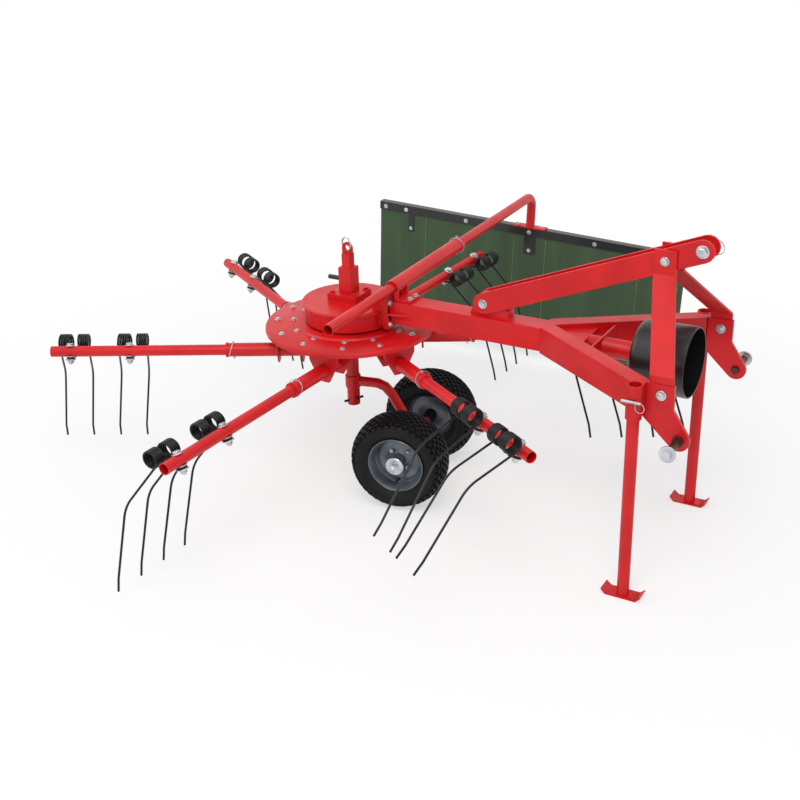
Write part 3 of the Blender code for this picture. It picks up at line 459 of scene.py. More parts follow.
class Workshop:
    """Makes pieces of the machine and puts them on its bodies."""

    def __init__(self) -> None:
        """Build the shared trees."""
        self.bars = wire_tree()
        self.copies = scatter_tree()
        self.count = 0

    def piece(self, name: str, mesh: bpy.types.Mesh, body: str, finish: Finish,
              stands_for: tuple = ()) -> bpy.types.Object:
        """A mesh as a piece of the machine.

        Args:
            name: the piece's name.
            mesh: its mesh, in place.
            body: the body that it rides on.
            finish: its finish.
            stands_for: the CAD nodes that it replaces.

        Returns:
            The piece.
        """
        made = linked(name, mesh)
        mesh.materials.clear()
        mesh.materials.append(material_of(finish))
        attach(made, body)
        if stands_for:
            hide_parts(*stands_for)
        self.count += 1
        log.info("%s: %d faces on %s", name, len(mesh.polygons), body)
        return made

    def bar(self, paths: list, radius: float, sides: int, closed: bool = False) -> bpy.types.Mesh:
        """Round bars along runs of points.

        Args:
            paths: a list of runs of points.
            radius: the bar's radius.
            sides: how many sides it has.
            closed: whether each run is a loop.

        Returns:
            One mesh of all the bars.
        """
        curve = bpy.data.curves.new("bar", "CURVE")
        curve.dimensions = "3D"
        for path in paths:
            spline = curve.splines.new("POLY")
            spline.points.add(len(path) - 1)
            spline.use_cyclic_u = closed
            for target, point in zip(spline.points, path):
                target.co = (*point, 1.0)
        return self.bars.mesh(linked("bar", curve), {"Radius": radius, "Sides": sides})

    def scattered(self, shape: bpy.types.Object, places: list) -> bpy.types.Mesh:
        """Copies of a shape.

        Args:
            shape: the object that is copied.
            places: rows of (place, facing, heading, size).

        Returns:
            One mesh of all the copies.
        """
        spots, facings, headings, sizes = zip(*places)
        mesh = bpy.data.meshes.new("places")
        mesh.from_pydata([tuple(spot) for spot in spots], [], [])
        for label, kind, key, column in (("facing", "FLOAT_VECTOR", "vector", facings),
                                         ("heading", "FLOAT_VECTOR", "vector", headings),
                                         ("size", "FLOAT", "value", sizes)):
            layer = mesh.attributes.new(label, kind, "POINT")
            for item, given in zip(layer.data, column):
                setattr(item, key, given)
        return self.copies.mesh(linked("places", mesh), {"Shape": shape})

    def fasten(self, name: str, batches: list, body: str, finish: Finish = BRIGHT_ZINC) -> None:
        """Copies of several shapes as one piece.

        Args:
            name: the piece's name.
            batches: pairs of a shape and its rows of (place, facing, heading, size).
            body: the body that it rides on.
            finish: its finish.
        """
        meshes = [self.scattered(shape, places) for shape, places in batches]
        self.piece(name, joined_meshes(meshes), body, finish)

    def wires(self, name: str, bars: list, body: str, finish: Finish = BRIGHT_ZINC) -> None:
        """Several round bars as one piece.

        Args:
            name: the piece's name.
            bars: for each, what bar takes.
            body: the body that it rides on.
            finish: its finish.
        """
        self.piece(name, joined_meshes([self.bar(*bar) for bar in bars]), body, finish)


# --- mesh helpers
def finished(bm: bmesh.types.BMesh, name: str, sharp: float = 38.0) -> bpy.types.Mesh:
    """A mesh from a bmesh, smooth up to an angle in degrees.

    Args:
        bm: the shape, freed afterwards.
        name: the mesh's name.
        sharp: the angle in degrees above which an edge stays sharp.

    Returns:
        The finished mesh.
    """
    mesh = bpy.data.meshes.new(name)
    bm.to_mesh(mesh)
    bm.free()
    mesh.shade_smooth()
    mesh.set_sharp_from_angle(angle=math.radians(sharp))
    return mesh


def turned(profile: list, segments: int, matrix: Matrix, closed: bool = True) -> bmesh.types.BMesh:
    """A ring turned about Z from (radius, height) points, then put in place.

    Args:
        profile: the outline.
        segments: steps round the axis.
        matrix: where it goes.
        closed: whether the outline is a loop.

    Returns:
        The shape.
    """
    bm = bmesh.new()
    verts = [bm.verts.new((radius, 0.0, height)) for radius, height in profile]
    last = verts[1:] + verts[:1] if closed else verts[1:]
    edges = [bm.edges.new(pair) for pair in zip(verts, last)]
    bmesh.ops.spin(bm, geom=verts + edges, cent=(0, 0, 0), axis=(0, 0, 1), angle=math.tau,
                   steps=segments, use_merge=True)
    bmesh.ops.remove_doubles(bm, verts=bm.verts, dist=1e-6)
    bmesh.ops.recalc_face_normals(bm, faces=bm.faces)
    bm.transform(matrix)
    return bm


def arc(centre: tuple, radius: float, start: float, end: float, steps: int) -> list:
    """Points of an arc between two angles in degrees."""
    angles = [math.radians(start + (end - start) * i / steps) for i in range(steps + 1)]
    return [(centre[0] + radius * math.cos(a), centre[1] + radius * math.sin(a)) for a in angles]


def around(angle: float) -> tuple:
    """The directions outward and onward at an angle about Z."""
    return (Vector((math.cos(angle), math.sin(angle), 0.0)),
            Vector((-math.sin(angle), math.cos(angle), 0.0)))


def ways(matrix: Matrix) -> tuple:
    """A matrix's own X, Y and Z directions."""
    return tuple(Vector(row) for row in matrix.to_3x3().transposed())


def joined(parts: list) -> bmesh.types.BMesh:
    """Several shapes as one."""
    whole = bmesh.new()
    for part in parts:
        mesh = bpy.data.meshes.new("part")
        part.to_mesh(mesh)
        part.free()
        whole.from_mesh(mesh)
        bpy.data.meshes.remove(mesh)
    return whole


def walled(bm: bmesh.types.BMesh, rings: list) -> bmesh.types.BMesh:
    """Join rings of vertices, from low to high, by walls and two lids.

    Args:
        bm: the shape that holds the rings.
        rings: lists of vertices, all of one length.

    Returns:
        The same shape.
    """
    for lower, upper in zip(rings, rings[1:]):
        for i in range(len(lower)):
            j = (i + 1) % len(lower)
            bm.faces.new((lower[i], lower[j], upper[j], upper[i]))
    bm.faces.new(rings[-1])
    bm.faces.new(list(reversed(rings[0])))
    return bm


def hexagon(radius: float, low: float, high: float, chamfer: float) -> bmesh.types.BMesh:
    """A hexagonal head with its outer corners chamfered, standing on its low face.

    Args:
        radius: distance from the axis to a corner.
        low: height of its foot.
        high: height of its top.
        chamfer: height of the chamfer.

    Returns:
        The shape.
    """
    bm = bmesh.new()
    levels = ((low, radius), (high - chamfer, radius), (high, radius - chamfer * 1.5))
    corners = [around(math.radians(60 * i))[0] for i in range(6)]
    rings = [[bm.verts.new(size * corner + height * UP) for corner in corners]
             for height, size in levels]
    return walled(bm, rings)


def softened(node: str, width: float) -> bpy.types.Mesh:
    """A CAD node's shape with its sharp edges rounded.

    Args:
        node: the node's name.
        width: the width of the rounding.

    Returns:
        The new mesh.
    """
    bm = bmesh.new()
    bm.from_mesh(frame["nodes"][node].data)
    bmesh.ops.remove_doubles(bm, verts=bm.verts, dist=1e-5)
    bmesh.ops.dissolve_limit(bm, angle_limit=math.radians(0.6), verts=bm.verts, edges=bm.edges)
    mesh = bpy.data.meshes.new(node + "_soft")
    bm.to_mesh(mesh)
    bm.free()
    mesh.shade_smooth()
    mesh.set_sharp_from_angle(angle=math.radians(34))
    carrier = linked("carrier", mesh)
    edge = carrier.modifiers.new("edge", "BEVEL")
    edge.width = width
    edge.segments = 2
    edge.limit_method = "ANGLE"
    edge.angle_limit = math.radians(42)
    edge.use_clamp_overlap = True
    edge.harden_normals = True
    return evaluated(carrier)


class Templates:
    """Fasteners that are copied, at full size about the origin and standing on Z."""

    hole = 0.0055
    chamfer = 0.0005

    def __init__(self) -> None:
        """Build each shape once."""
        washer = self.washer_outline(0.0130, 0.0022, 0.0005)
        stub = [(0.0, 0.0), (0.0050, 0.0), (0.0050, 0.0130), (0.0042, 0.0140), (0.0, 0.0140)]
        wide = self.washer_outline(0.0190, 0.0030, 0.0006)
        self.bolt = self.keep("bolt", [turned(washer, 24, Matrix()),
                                       hexagon(0.0095, 0.0020, 0.0085, 0.0010)])
        self.nut = self.keep("nut", [turned(washer, 24, Matrix()),
                                     hexagon(0.0095, 0.0020, 0.0102, 0.0010),
                                     turned(stub, 16, Matrix(), closed=False)])
        self.washer = self.keep("washer", [turned(wide, 28, Matrix())])
        self.lug = self.keep("lug", [self.tread_block(0.0205, 0.0118, 0.0090)])

    def washer_outline(self, radius: float, height: float, ease: float) -> list:
        """Outline of a washer whose outer edges are eased."""
        inside = radius - self.chamfer
        return [(self.hole, 0.0), (inside, 0.0), (radius, ease), (radius, height - ease),
                (inside, height), (self.hole, height)]

    @staticmethod
    def tread_block(length: float, width: float, height: float) -> bmesh.types.BMesh:
        """One tapered block of tread.

        Args:
            length: size along the tread.
            width: size across it.
            height: its thickness.

        Returns:
            The shape.
        """
        bm = bmesh.new()
        bmesh.ops.create_cube(bm, size=1.0)
        for vert in bm.verts:
            taper = 0.84 if vert.co.z > 0 else 1.0
            vert.co = Vector((vert.co.x * length * taper, vert.co.y * width * taper,
                              vert.co.z * height))
        return bm

    @staticmethod
    def keep(name: str, parts: list) -> bpy.types.Object:
        """An unshown object that holds a template."""
        made = linked("template_" + name, finished(joined(parts), "template_" + name))
        made.hide_render = True
        return made

    def clear(self) -> None:
        """Remove the templates once everything is placed."""
        for made in (self.bolt, self.nut, self.washer, self.lug):
            bpy.data.objects.remove(made)


# --- rotor arms
@dataclass
class ArmPlace:
    """Where one tine arm is, read from its joint."""

    name: str
    azimuth: float
    pitch: float
    centre: Vector

    lowest = -22.0

    @classmethod
    def all(cls) -> list:
        """The arms in the order of the joints."""
        found = []
        for joint in frame["record"]["behaviour"]["joints"]:
            if joint["name"].endswith("_pitch"):
                inward = joint["axis"]
                pitch = math.radians(cls.lowest - joint["range_deg"][0])
                found.append(cls(joint["child"], math.atan2(-inward[1], -inward[0]), pitch,
                                 Vector(joint["pos_m"])))
        return found

    def seat(self) -> Matrix:
        """The socket's own frame: +X out along the arm, -Y trailing."""
        return Matrix.Translation(self.centre) @ Matrix.Rotation(self.azimuth, 4, "Z")

    def axis(self) -> Matrix:
        """The arm's own frame, turned with its pitch."""
        turn = Euler((-self.pitch, 0, self.azimuth)).to_matrix().to_4x4()
        return Matrix.Translation(self.centre) @ turn


@dataclass
class SpringTines:
    """Double spring tines, wound from one wire each."""

    shop: Workshop
    templates: Templates
    along: tuple = (("outer", 1.118), ("inner", 0.880))
    leans: dict = field(default_factory=lambda: {"arm_3": (0.18, 0.33), "arm_5": (0.18, 0.22)})
    usual_lean: tuple = (0.17, 0.18)
    wire: float = 0.0042
    coil: float = 0.0298
    coil_length: float = 0.052
    split: float = 0.020
    trail: float = 0.0715
    rise: float = 0.030
    turns: int = 5
    upper: tuple = (0.209, 33.0)
    lower: tuple = (0.271, 63.6)
    tip: float = 0.052
    tip_turn: float = 0.12
    ease: float = 0.040
    arm_radius: float = 0.0215

    def half(self, lean: float, tip_turn: float) -> list:
        """Points of the right half, from the bridge under the arm to the tine's tip.

        Args:
            lean: sideways lean of the tine.
            tip_turn: sideways turn of its tip.

        Returns:
            The points, in order.
        """
        leave = math.radians(self.upper[1])
        directions = []
        for _, angle in (self.upper, self.lower):
            down = math.radians(angle)
            directions.append(Vector((lean, -math.cos(down), -math.sin(down))))
        under = -(self.arm_radius + self.wire + 0.0004)
        points = [Vector(p) for p in (
            (0.0, 0.016, under), (0.006, 0.0145, under), (0.0105, 0.006, under),
            (0.0112, -0.010, under), (0.0114, -0.026, under + 0.0012),
            (0.0118, -0.042, -0.0205), (0.0128, -0.056, -0.0090))]
        first = self.split / 2 + self.wire
        last = self.split / 2 + self.coil_length - self.wire
        swing = math.tau * self.turns - leave
        steps = self.turns * 26
        for step in range(steps + 1):
            share = step / steps
            angle = -math.pi / 2 - swing * share
            points.append(Vector((first + (last - first) * share,
                                  self.coil * math.cos(angle) - self.trail,
                                  self.coil * math.sin(angle) + self.rise)))
        start = points[-1]
        bend = start + self.upper[0] * directions[0]
        kink = bend + self.lower[0] * directions[1]
        near = bend - self.ease * directions[0]
        far = bend + self.ease * directions[1]
        points += [start + (near - start) * share for share in (0.35, 0.7)]
        points += [near.lerp(bend, t).lerp(bend.lerp(far, t), t) for t in (i / 8 for i in range(9))]
        points += [far.lerp(kink, 0.5), kink]
        points.append(kink + self.tip * (directions[1] - Vector((tip_turn, 0.0, 0.0))))
        return points

    def path(self, lean: float) -> list:
        """The whole wire from tip to tip."""
        right = self.half(lean, self.tip_turn)
        left = self.half(-lean, -self.tip_turn)
        return [Vector((-p.x, p.y, p.z)) for p in reversed(left[1:])] + right

    def build(self, arm: ArmPlace) -> None:
        """Wind the two springs of an arm and clamp them.

        Args:
            arm: the arm that carries them.
        """
        bolts, nuts, washers = [], [], []
        axis = arm.axis()
        out, _, up = ways(axis)
        clamp = self.arm_radius + 2 * self.wire + 0.0008
        for (label, distance), lean in zip(self.along, self.leans.get(arm.name, self.usual_lean)):
            place = axis @ Matrix.Translation((distance, 0, 0))
            wire = self.shop.bar([[place @ p for p in self.path(lean)]], self.wire, 10)
            self.shop.piece(f"{arm.name}_spring_{label}", wire, arm.name, SPRING_BLACK,
                            (f"{arm.name}_tines_{label}",))
            bolts.append((place @ Vector((0, 0, self.arm_radius - 0.0008)), up, out, 1.45))
            washers.append((place @ Vector((0, 0.001, -self.arm_radius)), up, out, 1.05))
            washers.append((place @ Vector((0, 0.001, -clamp)), -up, out, 1.12))
            nuts.append((place @ Vector((0, 0.001, -clamp - 0.0032)), -up, out, 1.30))
        shapes = (self.templates.bolt, self.templates.washer, self.templates.nut)
        self.shop.fasten(f"{arm.name}_clamps", list(zip(shapes, (bolts, washers, nuts))), arm.name)


def joined_meshes(meshes: list) -> bpy.types.Mesh:
    """Several finished meshes as one, keeping their shading."""
    whole = bmesh.new()
    for mesh in meshes:
        whole.from_mesh(mesh)
        bpy.data.meshes.remove(mesh)
    return finished(whole, "fasteners", 32.0)


def ring_clip(centre: Vector, facing: Vector, radius: float, start: Vector) -> list:
    """Points of a wire ring about a facing direction, starting towards start.

    Args:
        centre: the ring's centre.
        facing: the direction it faces.
        radius: its radius.
        start: the direction of its first point.

    Returns:
        The points, in order.
    """
    facing = facing.normalized()
    first = (start - facing * start.dot(facing)).normalized()
    second = facing.cross(first)
    return [centre + radius * (math.cos(a) * first + math.sin(a) * second)
            for a in (math.tau * i / 28 for i in range(28))]


# --- rotor pieces
@dataclass
class Rotor:
    """Bolts on the disc, and the pins that hold the arms in their sockets."""

    shop: Workshop
    templates: Templates
    bolt_radii: tuple = (0.228, 0.292)
    bolt_turns: tuple = (-4.0, 28.0)
    disc_top: float = 0.664
    socket_end: float = 0.485
    pin_inset: float = 0.022
    pin_reach: float = 0.036

    def build(self, arms: list) -> None:
        """Fasten the sockets under the disc.

        Args:
            arms: the six arms.
        """
        bolts = []
        for arm in arms:
            for turn in self.bolt_turns:
                spoke, _ = around(arm.azimuth + math.radians(turn))
                for radius in self.bolt_radii:
                    place = ROTOR_AXIS + radius * spoke + self.disc_top * UP
                    bolts.append((place, UP, spoke, 0.92))
        self.shop.fasten("disc_bolts", [(self.templates.bolt, bolts)], "rotor")
        for arm in arms:
            self.pin(arm)

    def pin(self, arm: ArmPlace) -> None:
        """The pin through a socket's outer end, with its spring ring.

        Args:
            arm: the socket's arm.
        """
        out, _, up = ways(arm.seat())
        place = arm.seat() @ Vector((self.socket_end - self.pin_inset, 0, 0))
        pin = [place + up * self.pin_reach, place - up * self.pin_reach]
        ring = ring_clip(place + up * 0.002 + out * 0.010, out + 0.35 * up, 0.0325, up)
        self.shop.wires(f"{arm.name}_ring_clip",
                        [([pin], 0.0038, 12), ([ring], 0.0014, 8, True)], "rotor")


# --- wheels
@dataclass
class Wheel:
    """A small turf tyre on a dished steel rim."""

    shop: Workshop
    templates: Templates
    radius: float = 0.192
    width: float = 0.163
    tread: float = 0.0062
    rim: float = 0.1015
    flange: float = 0.1115
    rows: int = 38
    columns: tuple = (-0.060, -0.044, -0.029, -0.0145, 0.0, 0.0145, 0.029, 0.044, 0.060)

    def crown(self, across: float) -> float:
        """Radius of the carcass at a distance from the middle plane."""
        half = self.width / 2
        share = min(abs(across) / half, 1.0)
        return self.radius - self.tread - 0.030 * share ** 2.6

    def carcass(self, matrix: Matrix) -> bmesh.types.BMesh:
        """The tyre's shell without its blocks.

        Args:
            matrix: the wheel's place, with Z on its axle.

        Returns:
            The shell.
        """
        half = self.width / 2
        bead = half - 0.026
        side = [(self.rim + 0.001, bead - 0.004), (self.rim + 0.003, bead + 0.001),
                (self.flange + 0.006, bead + 0.006), (0.127, half - 0.009), (0.138, half - 0.0035),
                (0.148, half - 0.0010), (0.157, half - 0.0025), (0.1655, half - 0.0080)]
        over = [(self.crown(a), a) for a in (0.066, 0.050, 0.033, 0.016, 0.0)]
        outside = side + over + [(r, -a) for r, a in reversed(over[:-1])]
        outside += [(r, -a) for r, a in reversed(side)]
        inner = [(self.rim + 0.004, -bead + 0.010), (0.140, -half + 0.016), (0.168, -0.052),
                 (0.173, 0.0), (0.168, 0.052), (0.140, half - 0.016), (self.rim + 0.004, bead - 0.010)]
        return turned(outside + inner, 112, matrix)

    def blocks(self, matrix: Matrix) -> bpy.types.Mesh:
        """The staggered tread blocks, and the lugs on the two shoulders.

        Args:
            matrix: the wheel's place, with Z on its axle.

        Returns:
            One mesh of all the blocks.
        """
        bands = []
        for number, across in enumerate(self.columns):
            lean = math.copysign(1.0, across) * (abs(across) / 0.075) ** 2 * 0.55
            bands.append((0.5 * (number % 2), self.crown(across) + 0.0022, across, 1.0, lean,
                          1.0 if abs(across) < 0.05 else 1.12))
        for side in (-1, 1):
            bands.append((0.5, 0.168, side * (self.width / 2 - 0.0090), 0.55, side * 0.83, 0.98))
        turn = matrix.to_3x3()
        places = []
        for stagger, radius, height, outward, lean, size in bands:
            for row in range(self.rows):
                spoke, onward = around(math.tau * (row + stagger) / self.rows)
                facing = (outward * spoke + lean * UP).normalized()
                places.append((matrix @ (radius * spoke + height * UP), turn @ facing,
                               turn @ onward, size))
        return self.shop.scattered(self.templates.lug, places)

    def rim_shape(self, matrix: Matrix) -> bmesh.types.BMesh:
        """The rim, dished like the real pressing, with its hub.

        Args:
            matrix: the wheel's place, with Z on its axle.

        Returns:
            The rim.
        """
        half = self.width / 2 - 0.030
        wall = 0.0035
        barrel = self.rim - wall
        profile = [(0.0130, -half - 0.014), (0.0250, -half - 0.014), (0.0260, -half - 0.012),
                   (0.0260, -0.006), (0.034, -0.001), (0.050, 0.006), (0.068, 0.010), (0.084, 0.006),
                   (barrel - 0.009, 0.000), (barrel - 0.006, -0.008), (barrel, -0.014),
                   (barrel, -half + 0.002), (barrel + 0.003, -half - 0.006),
                   *arc((self.flange - 0.003, -half - 0.0125), 0.0035, 180, 20, 4),
                   (self.rim, -half + 0.001), (self.rim, half - 0.001),
                   *arc((self.flange - 0.003, half + 0.0125), 0.0035, -20, -180, 4),
                   (barrel + 0.004, half + 0.007), (barrel + 0.001, half + 0.004),
                   (barrel, half - 0.006), (barrel - 0.0075, half - 0.010),
                   (barrel - 0.009, half - 0.014), (barrel - 0.010, 0.014),
                   (barrel - 0.014, 0.008), (0.078, 0.0085), (0.073, 0.0150), (0.062, 0.0165),
                   (0.055, 0.0130), (0.049, 0.0085), (0.040, 0.0080), (0.032, 0.0105),
                   (0.0265, 0.018), (0.0260, half + 0.012), (0.0250, half + 0.014),
                   (0.0130, half + 0.014)]
        return turned(profile, 96, matrix)

    def build(self, side: str) -> None:
        """Dress the wheel of one side.

        Args:
            side: left or right.
        """
        low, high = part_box("tyre_" + side)
        centre = (low + high) / 2
        body = "wheel_" + side
        outer = 1 if side == "left" else -1
        axle = joint_axis(body + "_spin")
        ahead, face = axle.cross(UP), axle * outer
        yaw = Matrix.Rotation(math.atan2(-axle.x, axle.y), 4, "Z")
        matrix = Matrix.Translation(centre) @ yaw @ Matrix.Rotation(math.radians(-90), 4, "X")
        tyre = joined_meshes([finished(self.carcass(matrix), "carcass"), self.blocks(matrix)])
        self.shop.piece("turf_tyre_" + side, tyre, body, RUBBER, ("tyre_" + side,))
        self.shop.piece("dished_rim_" + side, finished(self.rim_shape(matrix), "rim", 40.0), body,
                        RIM_SILVER, ("rim_" + side,))
        turns = [math.radians(45 + 90 * number) for number in range(4)]
        spokes = [math.cos(turn) * ahead + math.sin(turn) * UP for turn in turns]
        nuts = [(centre + 0.046 * spoke + face * 0.0075, face, spoke, 0.62) for spoke in spokes]
        self.shop.fasten("rim_nuts_" + side, [(self.templates.nut, nuts)], body)
        tip = centre + face * (self.width / 2 + 0.004)
        cap = [(0.0132, -0.0165), (0.0350, -0.0165), (0.0362, -0.0155), (0.0362, -0.0140),
               (0.0345, -0.0125), (0.0200, -0.0112), (0.0132, -0.0112)]
        upright = yaw @ Matrix.Rotation(math.radians(-90 * outer), 4, "X")
        disc = finished(turned(cap, 64, Matrix.Translation(tip) @ upright), "cap", 30.0)
        self.shop.piece("hub_cap_" + side, disc, body, BRIGHT_ZINC)
        axle_nut = (tip - face * 0.0105, face, ahead, 1.5)
        self.shop.fasten("axle_nut_" + side, [(self.templates.nut, [axle_nut])], "carriage")
        valve = [centre + face * 0.016 - 0.080 * UP, centre + face * 0.052 - 0.074 * UP]
        self.shop.piece("valve_" + side, self.shop.bar([valve], 0.0040, 10), body, RUBBER)


# --- curtain
@dataclass
class Curtain:
    """The cloth, its rail bolts and its tab rivets."""

    shop: Workshop
    templates: Templates
    length: float = 1.572
    rear: float = 0.805
    height: float = 0.595
    drop: float = 0.150
    plate: float = 0.006
    reach: float = 1.092
    inset: float = 0.012
    tilt: float = 2.9
    sleeve_middle: tuple = (0.200, 0.270, 0.842)
    seams: tuple = (-0.548, -0.076, 0.086, 0.548, 0.737)
    bolts: tuple = (-0.771, -0.657, -0.329, 0.0, 0.329, 0.655)
    tabs: tuple = (-0.629, 0.005, 0.633)
    stand: float = 0.0043
    below: float = 0.0045

    def matrix(self) -> Matrix:
        """The curtain's own frame: +Y out along its arm, with the arm's turn."""
        slide = joint_axis("curtain_slide")
        yaw = math.atan2(-slide.x, slide.y)
        return (Matrix.Translation(ROTOR_AXIS + Vector(self.sleeve_middle))
                @ Matrix.Rotation(yaw, 4, "Z") @ Matrix.Rotation(math.radians(self.tilt), 4, "Y"))

    def front(self) -> float:
        """The rotor side of the rail."""
        return self.reach - self.inset

    def top(self) -> float:
        """The rail's top face."""
        return -self.drop - self.plate - 0.0003

    def sway(self, x: float, fall: float) -> float:
        """How far the cloth stands off its flat plane at a fall below the rail.

        Args:
            x: place along the rail.
            fall: distance below the rail.

        Returns:
            The distance.
        """
        free = min(fall / self.height, 1.0)
        wave = 0.0045 * math.sin(7.3 * x + 0.6) + 0.0028 * math.sin(17.0 * x + 1.9)
        crumple = 0.004 * noise.noise(Vector((4.0 * x, 3.0 * fall, 0.3)))
        return free ** 0.8 * (wave + crumple)

    def cloth(self) -> bpy.types.Mesh:
        """The hanging sheet with its hem, as a closed thin slab with a UV map in metres."""
        columns, rows, thick = 150, 56, 0.0014
        base = self.front() + self.stand + 0.0012
        top = self.top() - self.below
        bm = bmesh.new()
        cut = bm.loops.layers.uv.new("cut")
        grid = [[[], []] for _ in range(rows + 1)]
        for row in range(rows + 1):
            fall = self.height * row / rows
            for column in range(columns + 1):
                x = -self.rear + 0.003 + (self.length - 0.006) * column / columns
                y = base + self.sway(x, fall)
                for layer in (0, 1):
                    grid[row][layer].append(bm.verts.new((x, y + thick * layer, top - fall)))
        for row in range(rows):
            for column in range(columns):
                corners = ((row, column), (row + 1, column), (row + 1, column + 1),
                           (row, column + 1))
                for layer in (0, 1):
                    ordered = corners if layer == 0 else tuple(reversed(corners))
                    face = bm.faces.new([grid[r][layer][c] for r, c in ordered])
                    for loop, (r, c) in zip(face.loops, ordered):
                        loop[cut].uv = (self.length * c / columns, self.height * (1 - r / rows))
        rim = [(0, c) for c in range(columns + 1)] + [(r, columns) for r in range(1, rows + 1)]
        rim += [(rows, c) for c in range(columns - 1, -1, -1)]
        rim += [(r, 0) for r in range(rows - 1, 0, -1)]
        for (r0, c0), (r1, c1) in zip(rim, rim[1:] + rim[:1]):
            bm.faces.new((grid[r0][0][c0], grid[r0][1][c0], grid[r1][1][c1], grid[r1][0][c1]))
        bmesh.ops.recalc_face_normals(bm, faces=bm.faces)
        bm.transform(self.matrix())
        return finished(bm, "cloth", 60.0)

    def seam_lines(self) -> list:
        """Runs of points of the raised seams, on the rotor side of the cloth."""
        hem = self.height - 0.022
        falls = [0.040 + (self.height - 0.045) * i / 40 for i in range(41)]
        runs = [[(x, fall) for fall in falls] for x in self.seams]
        runs.append([(-self.rear + 0.01 + (self.length - 0.02) * i / 120, hem)
                     for i in range(121)])
        base = self.front() + self.stand + 0.0008
        place = self.matrix()
        return [[place @ Vector((x, base + self.sway(x, fall), self.top() - self.below - fall))
                 for x, fall in run] for run in runs]

    def build(self) -> None:
        """Hang the cloth and bolt the rail."""
        cloth = self.shop.piece("hanging_cloth", self.cloth(), "curtain", FABRIC, ("curtain_cloth",))
        seams = self.shop.piece("cloth_seams", self.shop.bar(self.seam_lines(), 0.0011, 6),
                                "curtain", SEAM)
        place = self.matrix()
        along, outward, up = ways(place)
        spots = [(x, 0.022, 0.85) for x in self.bolts] + [(x, 0.112, 0.70) for x in self.tabs]
        rows = [(place @ Vector((x, self.front(), self.top() - fall)), -outward, along, size)
                for x, fall, size in spots]
        rows += [(place @ Vector((x, self.reach, -self.drop + 0.0004)), up, along, 0.85)
                 for x in (-0.055, 0.055)]
        self.shop.fasten("rail_bolts", [(self.templates.bolt, rows)], "curtain")


